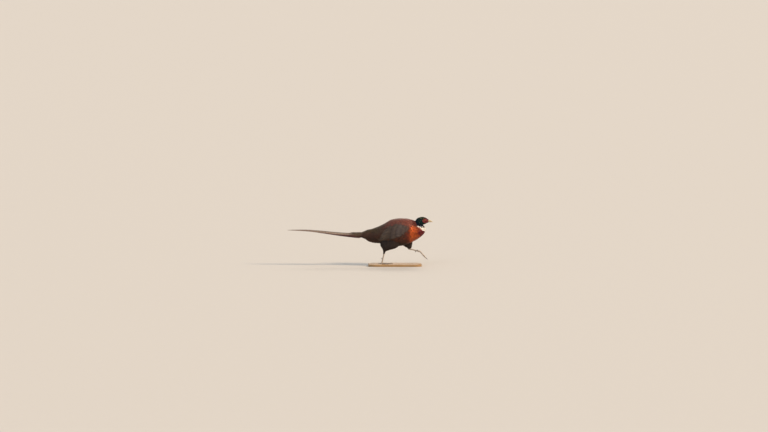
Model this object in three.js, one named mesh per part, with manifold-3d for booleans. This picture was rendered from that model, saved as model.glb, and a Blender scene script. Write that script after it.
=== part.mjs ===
// A cock common pheasant walking, as a life-size still model on a flat base.
// Millimetres, +Z up. The bird faces +X and its left side is +Y.
// The origin is the middle of the base's underside.
import * as THREE from "three";
import { mergeVertices } from "three/addons/utils/BufferGeometryUtils.js";
import Module from "manifold-3d";

const wasm = await Module();
wasm.setup();

// Driving dimensions, in millimetres
const gap = 0.3; // between pieces that touch
const base = { length: 300, width: 150, height: 12, corner: 40, chamfer: 2 };
const eye = { x: 166, y: 13.1, z: 257, radius: 5 };
const bill = { baseX: 187, tipX: 213.5, gapeZ: 250.2, width: 12.4 };
const tail = {
  rootX: -168, // where the quills leave the rump
  rootZ: 187,
  lift: 18.5, // how far the line of the tail rises, between the next two distances
  riseFrom: 70,
  riseTo: 360,
  sag: 3.5, // of the long tips
  longest: 434, // the middle pair
  shortest: 120, // the outermost pair
  pairs: 9,
  width: 37,
  stack: 1.55, // each pair lies this far below the one inside it
};
const sole = base.height + gap;

// Outlines of the trunk, neck and head, from the rump to the bill, as ribs:
// [top x, top z, bottom x, bottom z, half width, how much wider above than below]
const bodyRibs = [
  [-170, 193, -166, 161, 14, 0.0],
  [-141, 203, -140, 136, 29, 0.05],
  [-110, 214, -112, 129, 42, 0.1],
  [-80, 226, -84, 127, 51, 0.12],
  [-53, 240, -52, 120, 57, 0.12],
  [-26, 257, -20, 114, 61, 0.1],
  [5, 265, 12, 111, 63, 0.08],
  [40, 267, 45, 114, 63, 0.06],
  [70, 265, 76, 123, 60, 0.04],
  [90, 260.5, 104, 138, 54.5, 0.0],
  [101, 257, 130, 153, 47, -0.05],
  [107, 254.8, 151, 169, 39, -0.1],
  [111, 253.4, 166, 185, 32, -0.1],
  [113.5, 253.2, 171.5, 202, 26.5, -0.08],
  [115.5, 254.6, 168, 217, 23, -0.05],
  [117.5, 258, 160, 226, 21, 0],
  [121.5, 263.5, 157, 229.5, 20.2, 0],
  [128, 269, 160, 231.5, 19.8, -0.05],
  [138, 273.3, 165, 233.5, 19.2, -0.1],
  [150.5, 275.3, 170, 235.5, 18.2, -0.12],
  [163, 274, 175.5, 238.5, 16, -0.12],
  [175, 269.2, 181, 241.5, 12.6, -0.1],
  [184, 262, 186, 243.5, 8.4, 0],
];
const neckStart = 11; // the rib where the trunk ends and the neck starts
const headStart = 16;

// The right leg carries the bird; the left one is lifted forwards.
// A thigh's ribs: [front x, front z, rear x, rear z, half width, middle y]
const thighs = {
  right: [
    [30, 152, -66, 164, 20, -30],
    [27, 128, -80, 142, 22, -29],
    [14, 107, -81, 118, 22, -28],
    [-8, 97.5, -72, 101, 17.5, -27],
    [-32, 91, -67.5, 91.5, 12, -26],
    [-48, 85, -65.5, 84.5, 8, -25],
    [-53.5, 79.5, -65, 78.5, 5.6, -24.5],
  ],
  left: [
    [86, 168, 12, 152, 20, 33],
    [97, 140, 32, 124, 20, 31],
    [97, 120, 53, 108, 16, 29],
    [94.5, 107, 67, 100.5, 11, 27],
    [92, 100.5, 73, 95, 7.4, 26],
  ],
};
const legs = {
  right: {
    heel: [-59.5, -24, 77],
    ankle: [-72, -20, 19.5],
    toesAhead: [1, 0, 0],
    flat: true,
  },
  left: {
    heel: [80, 25, 94.5],
    ankle: [141, 20, 79],
    toesAhead: [0.78, 0, -0.63],
    flat: false,
  },
};
const shank = { heelRadius: 5.4, radius: 3.6, ankleRadius: 4.6 };
const spur = { along: 0.62, length: 12, radius: 2.6 };
// Toes: [yaw from the middle toe in degrees, length, claw, root radius]
const toes = {
  middle: [0, 50, 13, 3.9],
  inner: [34, 36, 11, 3.5],
  outer: [-32, 40, 11, 3.5],
  hind: [168, 13, 9, 2.7],
};

// The folded wing in side view, as [x, z] points from the shoulder to the tips
const wingLowEdge = [
  [86, 208],
  [62, 182],
  [22, 158],
  [-18, 139],
  [-60, 138],
];
const wingTopEdge = [
  [88, 222],
  [68, 240],
  [42, 249],
  [12, 249],
  [-16, 240],
];
const wingCore = { thin: 2, thick: 8.5, thickFrom: -8, thickTo: 60 };
// Tiers of vanes: how many, the lowest and highest root and tip in side view,
// the vane's width, and how far root and tip stand off the trunk
const wingTiers = [
  {
    count: 5, roots: [[44, 174], [24, 184]], tips: [[-66, 132], [-96, 147]],
    width: 15, rootLift: 0.6, tipLift: 2.2, stations: 5,
  },
  {
    count: 11, roots: [[22, 170], [34, 246]], tips: [[-88, 150], [-24, 238]],
    width: 15, rootLift: 1.2, tipLift: 5.4, stations: 5,
  },
  {
    count: 8, roots: [[52, 180], [62, 242]], tips: [[-16, 149], [12, 244]],
    width: 16.5, rootLift: 2.6, tipLift: 8.2, stations: 4,
  },
  {
    count: 6, roots: [[74, 196], [78, 234]], tips: [[20, 166], [44, 243]],
    width: 16.5, rootLift: 5, tipLift: 10.5, stations: 4,
  },
];

// Colours
const finish = {
  trunk: [0x8a3c1c, 0.7],
  neck: [0x5a1f2a, 0.6],
  head: [0x14302c, 0.45],
  wing: [0x6e6252, 0.7],
  tail: [0x8c6a48, 0.7],
  thigh: [0x2a1d17, 0.8],
  leg: [0x9c9484, 0.6],
  bill: [0xd2c8a4, 0.45],
  eye: [0x2a1404, 0.15],
  stand: [0xb59a72, 0.6],
};

// Seeded random numbers from 0 to 1, the same on each run
function seeded(seed) {
  let state = seed;
  return () => {
    state = (state * 1664525 + 1013904223) % 4294967296;
    return state / 4294967296;
  };
}

const mix = (a, b, t) => a + (b - a) * t;
const mixPoint = (a, b, t) => a.map((value, i) => mix(value, b[i], t));
const vector = (p) => new THREE.Vector3(...p);

function smoothstep(t) {
  const s = THREE.MathUtils.clamp(t, 0, 1);
  return s * s * (3 - 2 * s);
}

// Rows of a table at a fractional index, on a Catmull-Rom curve through them
function rowAt(rows, at) {
  const i = Math.min(Math.floor(at), rows.length - 2);
  const t = at - i;
  const before = rows[Math.max(i - 1, 0)];
  const after = rows[Math.min(i + 2, rows.length - 1)];
  return rows[i].map((b, k) => {
    const a = before[k];
    const c = rows[i + 1][k];
    const d = after[k];
    return (
      b + 0.5 * t * (c - a + t * (2 * a - 5 * b + 4 * c - d + t * (3 * (b - c) + d - a)))
    );
  });
}

// A closed mesh through rings of points, each ring with the same count
function loft(rings) {
  const count = rings[0].length;
  const points = rings.flat();
  const faces = [];
  for (let r = 0; r + 1 < rings.length; r++)
    for (let k = 0; k < count; k++) {
      const a = r * count + k;
      const b = r * count + ((k + 1) % count);
      faces.push([a, b, b + count], [a, b + count, a + count]);
    }
  for (const end of [0, rings.length - 1]) {
    const first = end * count;
    for (let k = 1; k + 1 < count; k++)
      faces.push(end ? [first, first + k, first + k + 1] : [first, first + k + 1, first + k]);
  }
  return solid(points, faces);
}

// A solid from points and faces, turned so that its faces point out
function solid(points, faces) {
  let volume = 0;
  for (const [a, b, c] of faces)
    volume += points[a].dot(points[b].clone().cross(points[c]));
  const turned = volume < 0 ? faces.map(([a, b, c]) => [a, c, b]) : faces;
  return new wasm.Manifold(
    new wasm.Mesh({
      numProp: 3,
      vertProperties: new Float32Array(points.flatMap((p) => [p.x, p.y, p.z])),
      triVerts: new Uint32Array(turned.flat()),
    }),
  );
}

// A solid from one of three.js's own closed geometries
function solidOf(geometry) {
  geometry.deleteAttribute("normal");
  geometry.deleteAttribute("uv");
  const merged = mergeVertices(geometry, 1e-4);
  return new wasm.Manifold(
    new wasm.Mesh({
      numProp: 3,
      vertProperties: new Float32Array(merged.attributes.position.array),
      triVerts: new Uint32Array(merged.index.array),
    }),
  );
}

function ellipsoid(centre, radii, across = 16) {
  return solidOf(
    new THREE.SphereGeometry(1, across, Math.round(across * 0.6))
      .scale(...radii)
      .translate(...centre),
  );
}

// One body from several: their union, less any scrap or sealed hollow
function fuse(pieces) {
  const joined = wasm.Manifold.union(pieces);
  return largest(joined);
}

function largest(whole) {
  return whole.decompose().reduce((a, b) => (b.volume() > a.volume() ? b : a));
}

// One rib of the body as a ring of points. Grow makes it larger all round.
function ribRing(rib, around, grow = 0, shift = 0) {
  const [topX, topZ, bottomX, bottomZ, half, fuller] = rib;
  const middle = new THREE.Vector3((topX + bottomX) / 2, 0, (topZ + bottomZ) / 2);
  const rise = new THREE.Vector3(topX - bottomX, 0, topZ - bottomZ).multiplyScalar(0.5);
  rise.multiplyScalar(1 + grow / rise.length());
  const ahead = new THREE.Vector3(rise.z, 0, -rise.x).normalize();
  return Array.from({ length: around }, (_, k) => {
    const angle = (k / around) * 2 * Math.PI;
    const height = -Math.cos(angle);
    const side = (half + grow) * Math.sin(angle) * (1 + fuller * height);
    return middle
      .clone()
      .addScaledVector(rise, height)
      .addScaledVector(ahead, shift)
      .setY(side);
  });
}

// The body between two ribs, ending in a flat cut at each that keeps half the gap
function bodyPart(from, to, steps, around, grow = 0) {
  const rings = [];
  for (let k = 0; k <= (to - from) * steps; k++) {
    const at = from + k / steps;
    let shift = 0;
    if (at === from && from > 0) shift = gap / 2;
    if (at === to && to < bodyRibs.length - 1) shift = -gap / 2;
    rings.push(ribRing(rowAt(bodyRibs, at), around, grow, shift));
  }
  return loft(rings);
}

// The point of the trunk's surface that shows at x and z in side view, and its normal
function onTrunk(x, z, side) {
  const place = (at) => {
    const [topX, topZ, bottomX, bottomZ, half, fuller] = rowAt(bodyRibs, at);
    const rise = [(topX - bottomX) / 2, (topZ - bottomZ) / 2];
    const from = [x - (topX + bottomX) / 2, z - (topZ + bottomZ) / 2];
    const size = rise[0] ** 2 + rise[1] ** 2;
    const height = (from[0] * rise[0] + from[1] * rise[1]) / size;
    const inside = Math.sqrt(Math.max(1 - height * height, 0.0004));
    return {
      ahead: from[0] * rise[1] - from[1] * rise[0],
      y: half * inside * (1 + fuller * height),
    };
  };
  let low = 0;
  let high = neckStart + 1;
  for (let k = 0; k < 24; k++) {
    const middle = (low + high) / 2;
    if (place(middle).ahead > 0) low = middle;
    else high = middle;
  }
  return new THREE.Vector3(x, side * place(low).y, z);
}

function offTrunk(x, z, side, lift) {
  const step = 4;
  const here = onTrunk(x, z, side);
  const alongX = onTrunk(x + step, z, side).sub(onTrunk(x - step, z, side));
  const alongZ = onTrunk(x, z + step, side).sub(onTrunk(x, z - step, side));
  const normal = alongX.cross(alongZ).normalize();
  if (normal.y * side < 0) normal.negate();
  return here.addScaledVector(normal, lift);
}

// A thin vane. Each station is { middle, across, up, width }; the two faces are
// split into triangles alike.
function vane(stations, thick, camber) {
  const points = [];
  for (const { middle, across, up, width } of stations)
    for (const face of [0.5, -0.5])
      for (const side of [-0.5, 0, 0.5])
        points.push(
          middle
            .clone()
            .addScaledVector(across, side * width)
            .addScaledVector(up, face * thick - Math.abs(side) * 2 * camber * width),
        );
  const faces = [];
  const quad = (a, b, c, d) => faces.push([a, b, c], [a, c, d]);
  for (let s = 0; s + 1 < stations.length; s++) {
    const n = s * 6;
    const m = n + 6;
    quad(n, n + 1, m + 1, m);
    quad(n + 1, n + 2, m + 2, m + 1);
    faces.push([n + 3, m + 4, n + 4], [n + 3, m + 3, m + 4]);
    faces.push([n + 4, m + 5, n + 5], [n + 4, m + 4, m + 5]);
    quad(n + 2, n + 5, m + 5, m + 2);
    quad(n, m, m + 3, n + 3);
  }
  const last = (stations.length - 1) * 6;
  quad(0, 3, 4, 1);
  quad(1, 4, 5, 2);
  quad(last, last + 1, last + 4, last + 3);
  quad(last + 1, last + 2, last + 5, last + 4);
  return solid(points, faces);
}

// Half-round end: narrow at the quill, full over most of the length
const vaneShape = (t) => mix(0.5, 1, smoothstep(t / 0.3)) * Math.sqrt(1 - Math.max(t, 0.05) ** 5);

// A patch of the wing between its two edges, from one lift off the trunk to another
function wingPatch(side, lowEdge, topEdge, inner, outerAt) {
  const along = 9;
  const across = 5;
  const low = new THREE.SplineCurve(lowEdge.map((p) => new THREE.Vector2(...p)));
  const top = new THREE.SplineCurve(topEdge.map((p) => new THREE.Vector2(...p)));
  const points = [];
  const index = (layer, u, v) => (layer * (along + 1) + u) * (across + 1) + v;
  for (const layer of [0, 1])
    for (let u = 0; u <= along; u++)
      for (let v = 0; v <= across; v++) {
        const place = low.getPoint(u / along).lerp(top.getPoint(u / along), v / across);
        const edge = Math.sin((Math.PI * v) / across) ** 0.5;
        const lift = layer ? outerAt(place.x, edge) : inner;
        points.push(offTrunk(place.x, place.y, side, lift));
      }
  const faces = [];
  const quad = (a, b, c, d) => faces.push([a, b, c], [a, c, d]);
  for (let u = 0; u < along; u++)
    for (let v = 0; v < across; v++) {
      quad(index(1, u, v), index(1, u + 1, v), index(1, u + 1, v + 1), index(1, u, v + 1));
      faces.push(
        [index(0, u, v), index(0, u + 1, v + 1), index(0, u + 1, v)],
        [index(0, u, v), index(0, u, v + 1), index(0, u + 1, v + 1)],
      );
    }
  for (let u = 0; u < along; u++) {
    quad(index(0, u, 0), index(0, u + 1, 0), index(1, u + 1, 0), index(1, u, 0));
    quad(
      index(1, u, across), index(1, u + 1, across), index(0, u + 1, across), index(0, u, across),
    );
  }
  for (let v = 0; v < across; v++) {
    quad(index(1, 0, v), index(1, 0, v + 1), index(0, 0, v + 1), index(0, 0, v));
    quad(
      index(0, along, v), index(0, along, v + 1), index(1, along, v + 1), index(1, along, v),
    );
  }
  return solid(points, faces);
}

// One wing: a core that thins to the rear, and tiers of vanes like shingles
function wing(side, trunkGrown) {
  const random = seeded(side > 0 ? 11 : 23);
  const outerAt = (x, edge) => {
    const full = smoothstep((x - wingCore.thickFrom) / (wingCore.thickTo - wingCore.thickFrom));
    return wingCore.thin + (wingCore.thick - wingCore.thin) * full * edge;
  };
  const pieces = [wingPatch(side, wingLowEdge, wingTopEdge, -1, outerAt)];
  for (const tier of wingTiers)
    for (let k = 0; k < tier.count; k++) {
      const f = k / (tier.count - 1);
      const root = mixPoint(...tier.roots, f);
      const tip = mixPoint(...tier.tips, f);
      tip[0] += (random() - 0.5) * 4;
      const course = new THREE.Vector2(tip[0] - root[0], tip[1] - root[1]).normalize();
      const sideways = [-course.y, course.x]; // points down the wing
      pieces.push(
        vane(
          Array.from({ length: tier.stations }, (_, s) => {
            const t = s / (tier.stations - 1);
            const [x, z] = mixPoint(root, tip, t);
            const lift = mix(tier.rootLift, tier.tipLift, t ** 0.7);
            const width = tier.width * vaneShape(Math.min(t, 0.985));
            const shingle = 0.085; // the upper edge lies under its neighbour
            const low = offTrunk(
              x + (sideways[0] * width) / 2, z + (sideways[1] * width) / 2,
              side, lift + shingle * width,
            );
            const high = offTrunk(
              x - (sideways[0] * width) / 2, z - (sideways[1] * width) / 2,
              side, lift - shingle * width,
            );
            const middle = low.clone().add(high).multiplyScalar(0.5);
            const across = low.clone().sub(high).normalize();
            const forwards = new THREE.Vector3(course.x, 0, course.y);
            const up = across.clone().cross(forwards).normalize();
            if (up.y * side < 0) up.negate();
            return { middle, across, up, width: low.distanceTo(high) };
          }),
          0.8,
          0.03,
        ),
      );
    }
  return largest(fuse(pieces).subtract(trunkGrown));
}

// What a thigh has to stay clear of where a wing lies over it
function wingClearance(side) {
  const low = [[90, 200], [62, 172], [22, 146], [-18, 127], [-60, 121], [-108, 126]];
  const top = [[90, 222], [64, 242], [22, 250], [-18, 248], [-62, 242], [-108, 170]];
  return wingPatch(side, low, top, -1, () => 34);
}

// The height of the tail's line at a distance behind its root
const tailHeight = (s) =>
  tail.rootZ +
  tail.lift * smoothstep((s - tail.riseFrom) / (tail.riseTo - tail.riseFrom)) -
  tail.sag * (s / tail.longest) ** 6;

function tailNode() {
  const [topX, topZ, bottomX, bottomZ, half] = bodyRibs[0];
  const rump = [topX, topZ, bottomX, bottomZ, half, 0];
  const quillEnd = [topX - 40, tail.rootZ + 2, bottomX - 40, tail.rootZ - 15, half - 1, 0];
  const rings = [0, 0.35, 0.75, 1].map((t) => {
    const rib = mixPoint(rump, quillEnd, t);
    return ribRing(rib, 14, t === 1 ? -2.5 : -0.6, t === 0 ? -gap : 0);
  });
  const pieces = [loft(rings)];
  const stations = 8;
  for (const side of [1, -1])
    for (let pair = 0; pair < tail.pairs; pair++) {
      const share = 1 - pair / (tail.pairs - 1);
      const length = tail.shortest + (tail.longest - tail.shortest) * share ** 1.45;
      const roll = THREE.MathUtils.degToRad(18 + 2.4 * pair);
      const spread = Math.tan(THREE.MathUtils.degToRad(0.1 + 0.12 * pair));
      const drop = tail.stack * pair + (side < 0 ? 1.2 : 0); // the left one of a pair lies on top
      const innerY = pair ? 0.8 + 0.4 * pair : -2.5;
      const width = tail.width - 1.7 * pair;
      pieces.push(
        vane(
          Array.from({ length: stations }, (_, s) => {
            const t = s / (stations - 1);
            const behind = 6 + (length - 6) * t;
            const slope = (tailHeight(behind + 1) - tailHeight(behind - 1)) / 2;
            const course = new THREE.Vector3(-1, side * spread, slope).normalize();
            const level = new THREE.Vector3(0, side, 0).projectOnPlane(course).normalize();
            const up = level.clone().cross(course).normalize();
            if (up.z < 0) up.negate();
            const across = level
              .clone()
              .multiplyScalar(Math.cos(roll))
              .addScaledVector(up, -Math.sin(roll));
            const lifted = up
              .clone()
              .multiplyScalar(Math.cos(roll))
              .addScaledVector(level, Math.sin(roll));
            const taper = mix(0.4, 1, smoothstep(t / 0.25)) * (1 - 0.96 * t ** 2.6);
            // the inner edges stay under one another while the vane narrows
            const reach = (width * mix(1, taper, 0.9)) / 2;
            return {
              middle: new THREE.Vector3(
                tail.rootX - behind,
                side * (innerY + spread * behind),
                tailHeight(behind) - drop,
              ).addScaledVector(across, reach),
              across,
              up: lifted,
              width: width * taper,
            };
          }),
          0.7,
          0.03,
        ),
      );
    }
  return fuse(pieces);
}

// A tube along points with a radius at each
function limb(points, radii, around = 10, flatten = 1) {
  const path = points.map(vector);
  const rings = path.map((point, k) => {
    const ahead = path[Math.min(k + 1, path.length - 1)]
      .clone()
      .sub(path[Math.max(k - 1, 0)])
      .normalize();
    const side = new THREE.Vector3(0, 1, 0).projectOnPlane(ahead);
    if (side.length() < 0.3) side.set(1, 0, 0).projectOnPlane(ahead);
    side.normalize();
    const up = ahead.clone().cross(side);
    return Array.from({ length: around }, (_, n) => {
      const angle = ((n + 0.5) / around) * 2 * Math.PI;
      return point
        .clone()
        .addScaledVector(side, Math.cos(angle) * radii[k] * flatten)
        .addScaledVector(up, Math.sin(angle) * radii[k]);
    });
  });
  return loft(rings);
}

function thighSolid(ribs) {
  const steps = 2;
  const rings = [];
  for (let k = 0; k <= (ribs.length - 1) * steps; k++) {
    const [frontX, frontZ, rearX, rearZ, half, middleY] = rowAt(ribs, k / steps);
    const middle = [(frontX + rearX) / 2, middleY, (frontZ + rearZ) / 2];
    const reach = [(frontX - rearX) / 2, 0, (frontZ - rearZ) / 2];
    const around = 18;
    rings.push(
      Array.from({ length: around }, (_, n) => {
        const angle = (n / around) * 2 * Math.PI;
        return vector(middle)
          .addScaledVector(vector(reach), Math.cos(angle))
          .add(new THREE.Vector3(0, half * Math.sin(angle), 0));
      }),
    );
  }
  return loft(rings);
}

// The scaled lower leg, from the heel joint to just above the toes, with its spur
function shankSolid(leg, inward, grow = 0) {
  const heel = vector(leg.heel);
  const ankle = vector(leg.ankle);
  const down = ankle.clone().sub(heel);
  const radii = [2.5, shank.heelRadius, shank.heelRadius * 0.92, shank.radius, shank.radius,
    shank.ankleRadius, shank.ankleRadius];
  const places = [-0.09, -0.03, 0.05, 0.24, 0.72, 0.94, 1.03];
  const points = places.map((t) => heel.clone().addScaledVector(down, t).toArray());
  const pieces = [limb(points, radii.map((r) => r + grow), 12, 0.86)];
  const back = new THREE.Vector3(0, 1, 0).cross(down).normalize();
  if (back.x > 0 && leg.flat) back.negate();
  const rootPoint = heel.clone().addScaledVector(down, spur.along);
  const direction = back.clone().add(new THREE.Vector3(0, inward * 0.45, 0)).normalize();
  const at = (t) => rootPoint.clone().addScaledVector(direction, t).toArray();
  const drop = down.clone().normalize().multiplyScalar(1.5);
  const tip = vector(at(spur.length)).sub(drop).toArray();
  pieces.push(
    limb([at(0), at(spur.length * 0.55), tip], [spur.radius + grow, spur.radius * 0.7, 0.35], 8),
  );
  return fuse(pieces);
}

// The toes with their claws, spread from the ankle
function footSolid(leg, inward) {
  const ankle = vector(leg.ankle);
  const ahead = vector(leg.toesAhead).normalize();
  const side = new THREE.Vector3(0, inward, 0).projectOnPlane(ahead).normalize();
  const up = ahead.clone().cross(side).multiplyScalar(inward > 0 ? 1 : -1).normalize();
  const down = vector(leg.ankle).sub(vector(leg.heel)).normalize();
  const pieces = [
    limb(
      [ankle.clone().addScaledVector(down, -4).toArray(), ankle.toArray(),
        ankle.clone().addScaledVector(down, 2.2).toArray()],
      [shank.ankleRadius, shank.ankleRadius + 0.4, shank.ankleRadius - 0.6],
      12,
    ),
  ];
  for (const [name, [yaw, length, claw, radius]] of Object.entries(toes)) {
    const angle = THREE.MathUtils.degToRad(yaw);
    const course = ahead
      .clone()
      .multiplyScalar(Math.cos(angle))
      .addScaledVector(side, Math.sin(angle));
    const arch = leg.flat ? 1.2 : 0.5;
    const curl = leg.flat ? 0 : 0.16; // a lifted toe droops towards its tip
    const along = (t) => {
      const reach = length * t;
      const height = leg.flat
        ? sole + radius * 0.8 + arch * Math.sin(Math.PI * Math.min(t * 1.2, 1)) - ankle.z
        : -curl * reach * t - 1;
      return ankle.clone().addScaledVector(course, reach).addScaledVector(up, height);
    };
    const places = name === "hind" ? [0.05, 0.5, 1] : [0.02, 0.24, 0.38, 0.6, 0.74, 1];
    const bulge = name === "hind" ? [1, 0.9, 0.8] : [1.05, 0.82, 0.95, 0.76, 0.86, 0.68];
    const points = places.map((t) => along(t).toArray());
    points[0] = ankle.clone().addScaledVector(down, 1).toArray();
    pieces.push(limb(points, bulge.map((b) => b * radius), 8));
    const clawRoot = along(0.93);
    const clawAt = (t, fall) =>
      clawRoot
        .clone()
        .addScaledVector(course, claw * t)
        .addScaledVector(up, fall)
        .toArray();
    pieces.push(
      limb(
        [clawAt(0, 0), clawAt(0.35, 0.9), clawAt(0.75, 0.2), clawAt(1.2, -1.9)],
        [radius * 0.5, radius * 0.52, radius * 0.34, 0.3],
        6,
      ),
    );
  }
  let foot = fuse(pieces);
  if (leg.flat) foot = foot.trimByPlane([0, 0, 1], sole);
  return largest(foot);
}

// The head with wattles, lids and ear tufts, and sockets for the eyes
function headSolid() {
  const pieces = [bodyPart(headStart, bodyRibs.length - 1, 2, 18)];
  for (const side of [1, -1]) {
    pieces.push(
      ellipsoid([169, side * 13.6, 253], [15.5, 4.8, 11.5], 14),
      ellipsoid([160, side * 15.2, 246], [10, 4.6, 8], 12),
      ellipsoid([181, side * 8.6, 254.5], [7.5, 3.6, 5.5], 10),
    );
    const lid = new THREE.TorusGeometry(eye.radius + 0.5, 1.15, 6, 14);
    lid.rotateX(Math.PI / 2);
    lid.translate(eye.x, side * (eye.y + 3.3), eye.z);
    pieces.push(solidOf(lid));
    for (let k = 0; k < 3; k++) {
      const root = [141 - 2 * k, side * (8 + 2 * k), 269.5 - 2.2 * k];
      const tip = [120 + 2 * k, side * (13 + 2.4 * k), 269.5 - 3.4 * k];
      const course = vector(tip).sub(vector(root)).normalize();
      const across = new THREE.Vector3(0, 0.5, -1 * side).projectOnPlane(course).normalize();
      pieces.push(
        vane(
          [0, 0.4, 0.75, 1].map((t) => ({
            middle: vector(mixPoint(root, tip, t)).add(new THREE.Vector3(0, 0, 1.2 * t * t)),
            across,
            up: across.clone().cross(course),
            width: [4.5, 5.5, 4, 0.8][Math.round(t * 3)],
          })),
          1.2,
          0.05,
        ),
      );
    }
  }
  let head = fuse(pieces);
  for (const side of [1, -1])
    head = head.subtract(
      ellipsoid([eye.x, side * eye.y, eye.z], Array(3).fill(eye.radius + gap), 14),
    );
  const neckGrown = bodyPart(neckStart, headStart, 2, 22, gap);
  return largest(head.subtract(neckGrown).trimByPlane([-1, 0, 0], gap - bill.baseX));
}

// The upper bill curves down over the lower one; both start at the face
function billSolids() {
  const reach = bill.tipX - bill.baseX;
  const ring = (x, topZ, lowZ, half, flatLow) =>
    Array.from({ length: 12 }, (_, k) => {
      const angle = (k / 12) * 2 * Math.PI;
      const height = Math.sin(angle);
      const middle = flatLow ? lowZ : topZ;
      const rise = flatLow ? topZ - lowZ : lowZ - topZ;
      const z = height > 0 ? middle + rise * height : middle + rise * height * 0.02;
      return new THREE.Vector3(x, half * Math.cos(angle), z);
    });
  const places = [0, 0.25, 0.5, 0.7, 0.84, 0.94, 1];
  const gape = (t) => bill.gapeZ - 3.6 * t ** 4;
  const half = gap / 2 + 0.2;
  const upper = loft(
    places.map((t) =>
      ring(
        bill.baseX + reach * t,
        mix(259.6, 247.5, t ** 1.9),
        gape(t) + half,
        (bill.width / 2) * Math.sqrt(1 - 0.97 * t ** 2.2),
        true,
      ),
    ),
  );
  const lower = loft(
    places.slice(0, 5).map((t) =>
      ring(
        bill.baseX + reach * t,
        gape(t) - half,
        mix(243.6, 246.6, (t / 0.84) ** 1.6),
        (bill.width / 2 - 0.7) * Math.sqrt(1 - 0.95 * (t / 0.84) ** 2.2),
        false,
      ),
    ),
  );
  const nostrils = [1, -1].map((side) =>
    ellipsoid([bill.baseX + 6.5, side * 5.1, 254.6], [2.6, 1.5, 0.9], 10),
  );
  return { upper: nostrils.reduce((a, b) => a.subtract(b), upper), lower };
}

function standSolid() {
  const { length, width, height, corner, chamfer } = base;
  const outline = new THREE.Shape();
  const x = length / 2 - chamfer;
  const y = width / 2 - chamfer;
  const r = corner;
  outline.moveTo(-x + r, -y);
  outline.lineTo(x - r, -y);
  outline.absarc(x - r, -y + r, r, -Math.PI / 2, 0);
  outline.lineTo(x, y - r);
  outline.absarc(x - r, y - r, r, 0, Math.PI / 2);
  outline.lineTo(-x + r, y);
  outline.absarc(-x + r, y - r, r, Math.PI / 2, Math.PI);
  outline.lineTo(-x, -y + r);
  outline.absarc(-x + r, -y + r, r, Math.PI, 1.5 * Math.PI);
  const plate = new THREE.ExtrudeGeometry(outline, {
    depth: height - 2 * chamfer,
    bevelThickness: chamfer,
    bevelSize: chamfer,
    bevelSegments: 1,
    curveSegments: 5,
  });
  plate.translate(0, 0, chamfer);
  return solidOf(plate);
}

const bird = new THREE.Group();

function add(name, manifold, look) {
  const { vertProperties, triVerts } = manifold.getMesh();
  const geometry = new THREE.BufferGeometry();
  geometry.setAttribute("position", new THREE.BufferAttribute(vertProperties, 3));
  geometry.setIndex(new THREE.BufferAttribute(triVerts, 1));
  const [color, roughness] = finish[look];
  const material = new THREE.MeshStandardMaterial({ color, roughness, metalness: 0 });
  const mesh = new THREE.Mesh(geometry, material);
  mesh.name = name;
  bird.add(mesh);
}

const trunk = bodyPart(0, neckStart, 2, 22);
const trunkGrown = bodyPart(0, neckStart, 2, 22, gap);
add("torso", trunk, "trunk");
add("neck", bodyPart(neckStart, headStart, 2, 22), "neck");
add("head", headSolid(), "head");
const { upper, lower } = billSolids();
add("bill_upper", upper, "bill");
add("bill_lower", lower, "bill");
add("tail", tailNode(), "tail");
for (const [name, side] of [["left", 1], ["right", -1]]) {
  add(
    `eye_${name}`,
    ellipsoid([eye.x, side * eye.y, eye.z], Array(3).fill(eye.radius), 14),
    "eye",
  );
  add(`wing_${name}`, wing(side, trunkGrown), "wing");
  const leg = legs[name];
  const inward = -side;
  const lowerLeg = shankSolid(leg, inward);
  const thigh = thighSolid(thighs[name])
    .subtract(trunkGrown)
    .subtract(wingClearance(side))
    .subtract(shankSolid(leg, inward, gap));
  add(`thigh_${name}`, largest(thigh), "thigh");
  const down = vector(leg.ankle).sub(vector(leg.heel)).normalize();
  const cut = down.dot(vector(leg.ankle)) - 3;
  add(
    `shank_${name}`,
    largest(lowerLeg.trimByPlane(down.clone().negate().toArray(), -(cut - gap))),
    "leg",
  );
  add(`foot_${name}`, largest(footSolid(leg, inward).trimByPlane(down.toArray(), cut)), "leg");
}
add("stand_base", standSolid(), "stand");

export default bird;
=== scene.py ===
import math
import bpy
import numpy as np
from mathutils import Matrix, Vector
from mathutils.bvhtree import BVHTree
from mathutils.kdtree import KDTree


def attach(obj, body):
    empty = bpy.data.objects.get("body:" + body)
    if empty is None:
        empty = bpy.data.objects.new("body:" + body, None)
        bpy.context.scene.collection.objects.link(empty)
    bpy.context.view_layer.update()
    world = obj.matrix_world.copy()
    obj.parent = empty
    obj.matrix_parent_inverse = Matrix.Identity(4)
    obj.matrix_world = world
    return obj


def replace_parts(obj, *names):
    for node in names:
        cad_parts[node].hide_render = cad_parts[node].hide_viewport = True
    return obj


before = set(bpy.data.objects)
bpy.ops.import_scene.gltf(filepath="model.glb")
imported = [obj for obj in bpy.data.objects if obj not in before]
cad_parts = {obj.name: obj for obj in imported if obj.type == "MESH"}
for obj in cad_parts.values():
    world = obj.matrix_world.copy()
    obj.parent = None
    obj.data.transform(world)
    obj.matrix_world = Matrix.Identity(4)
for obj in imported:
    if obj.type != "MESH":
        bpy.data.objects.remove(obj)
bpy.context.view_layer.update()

# A cock common pheasant, striding, as a life-size museum model on a wooden base.
# Scene units are metres, +X towards the bill, +Y the bird's left, +Z up. Lengths in the dictionaries
# are in millimetres unless a note says otherwise, and colours are sRGB hex values.
mm = 0.001
rng = np.random.default_rng(7)


def linear(hexValue):
    # one sRGB hex value to linear light
    parts = [int(hexValue[k:k + 2], 16) / 255 for k in (1, 3, 5)]
    return [p / 12.92 if p <= 0.04045 else ((p + 0.055) / 1.055) ** 2.4 for p in parts]


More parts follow.
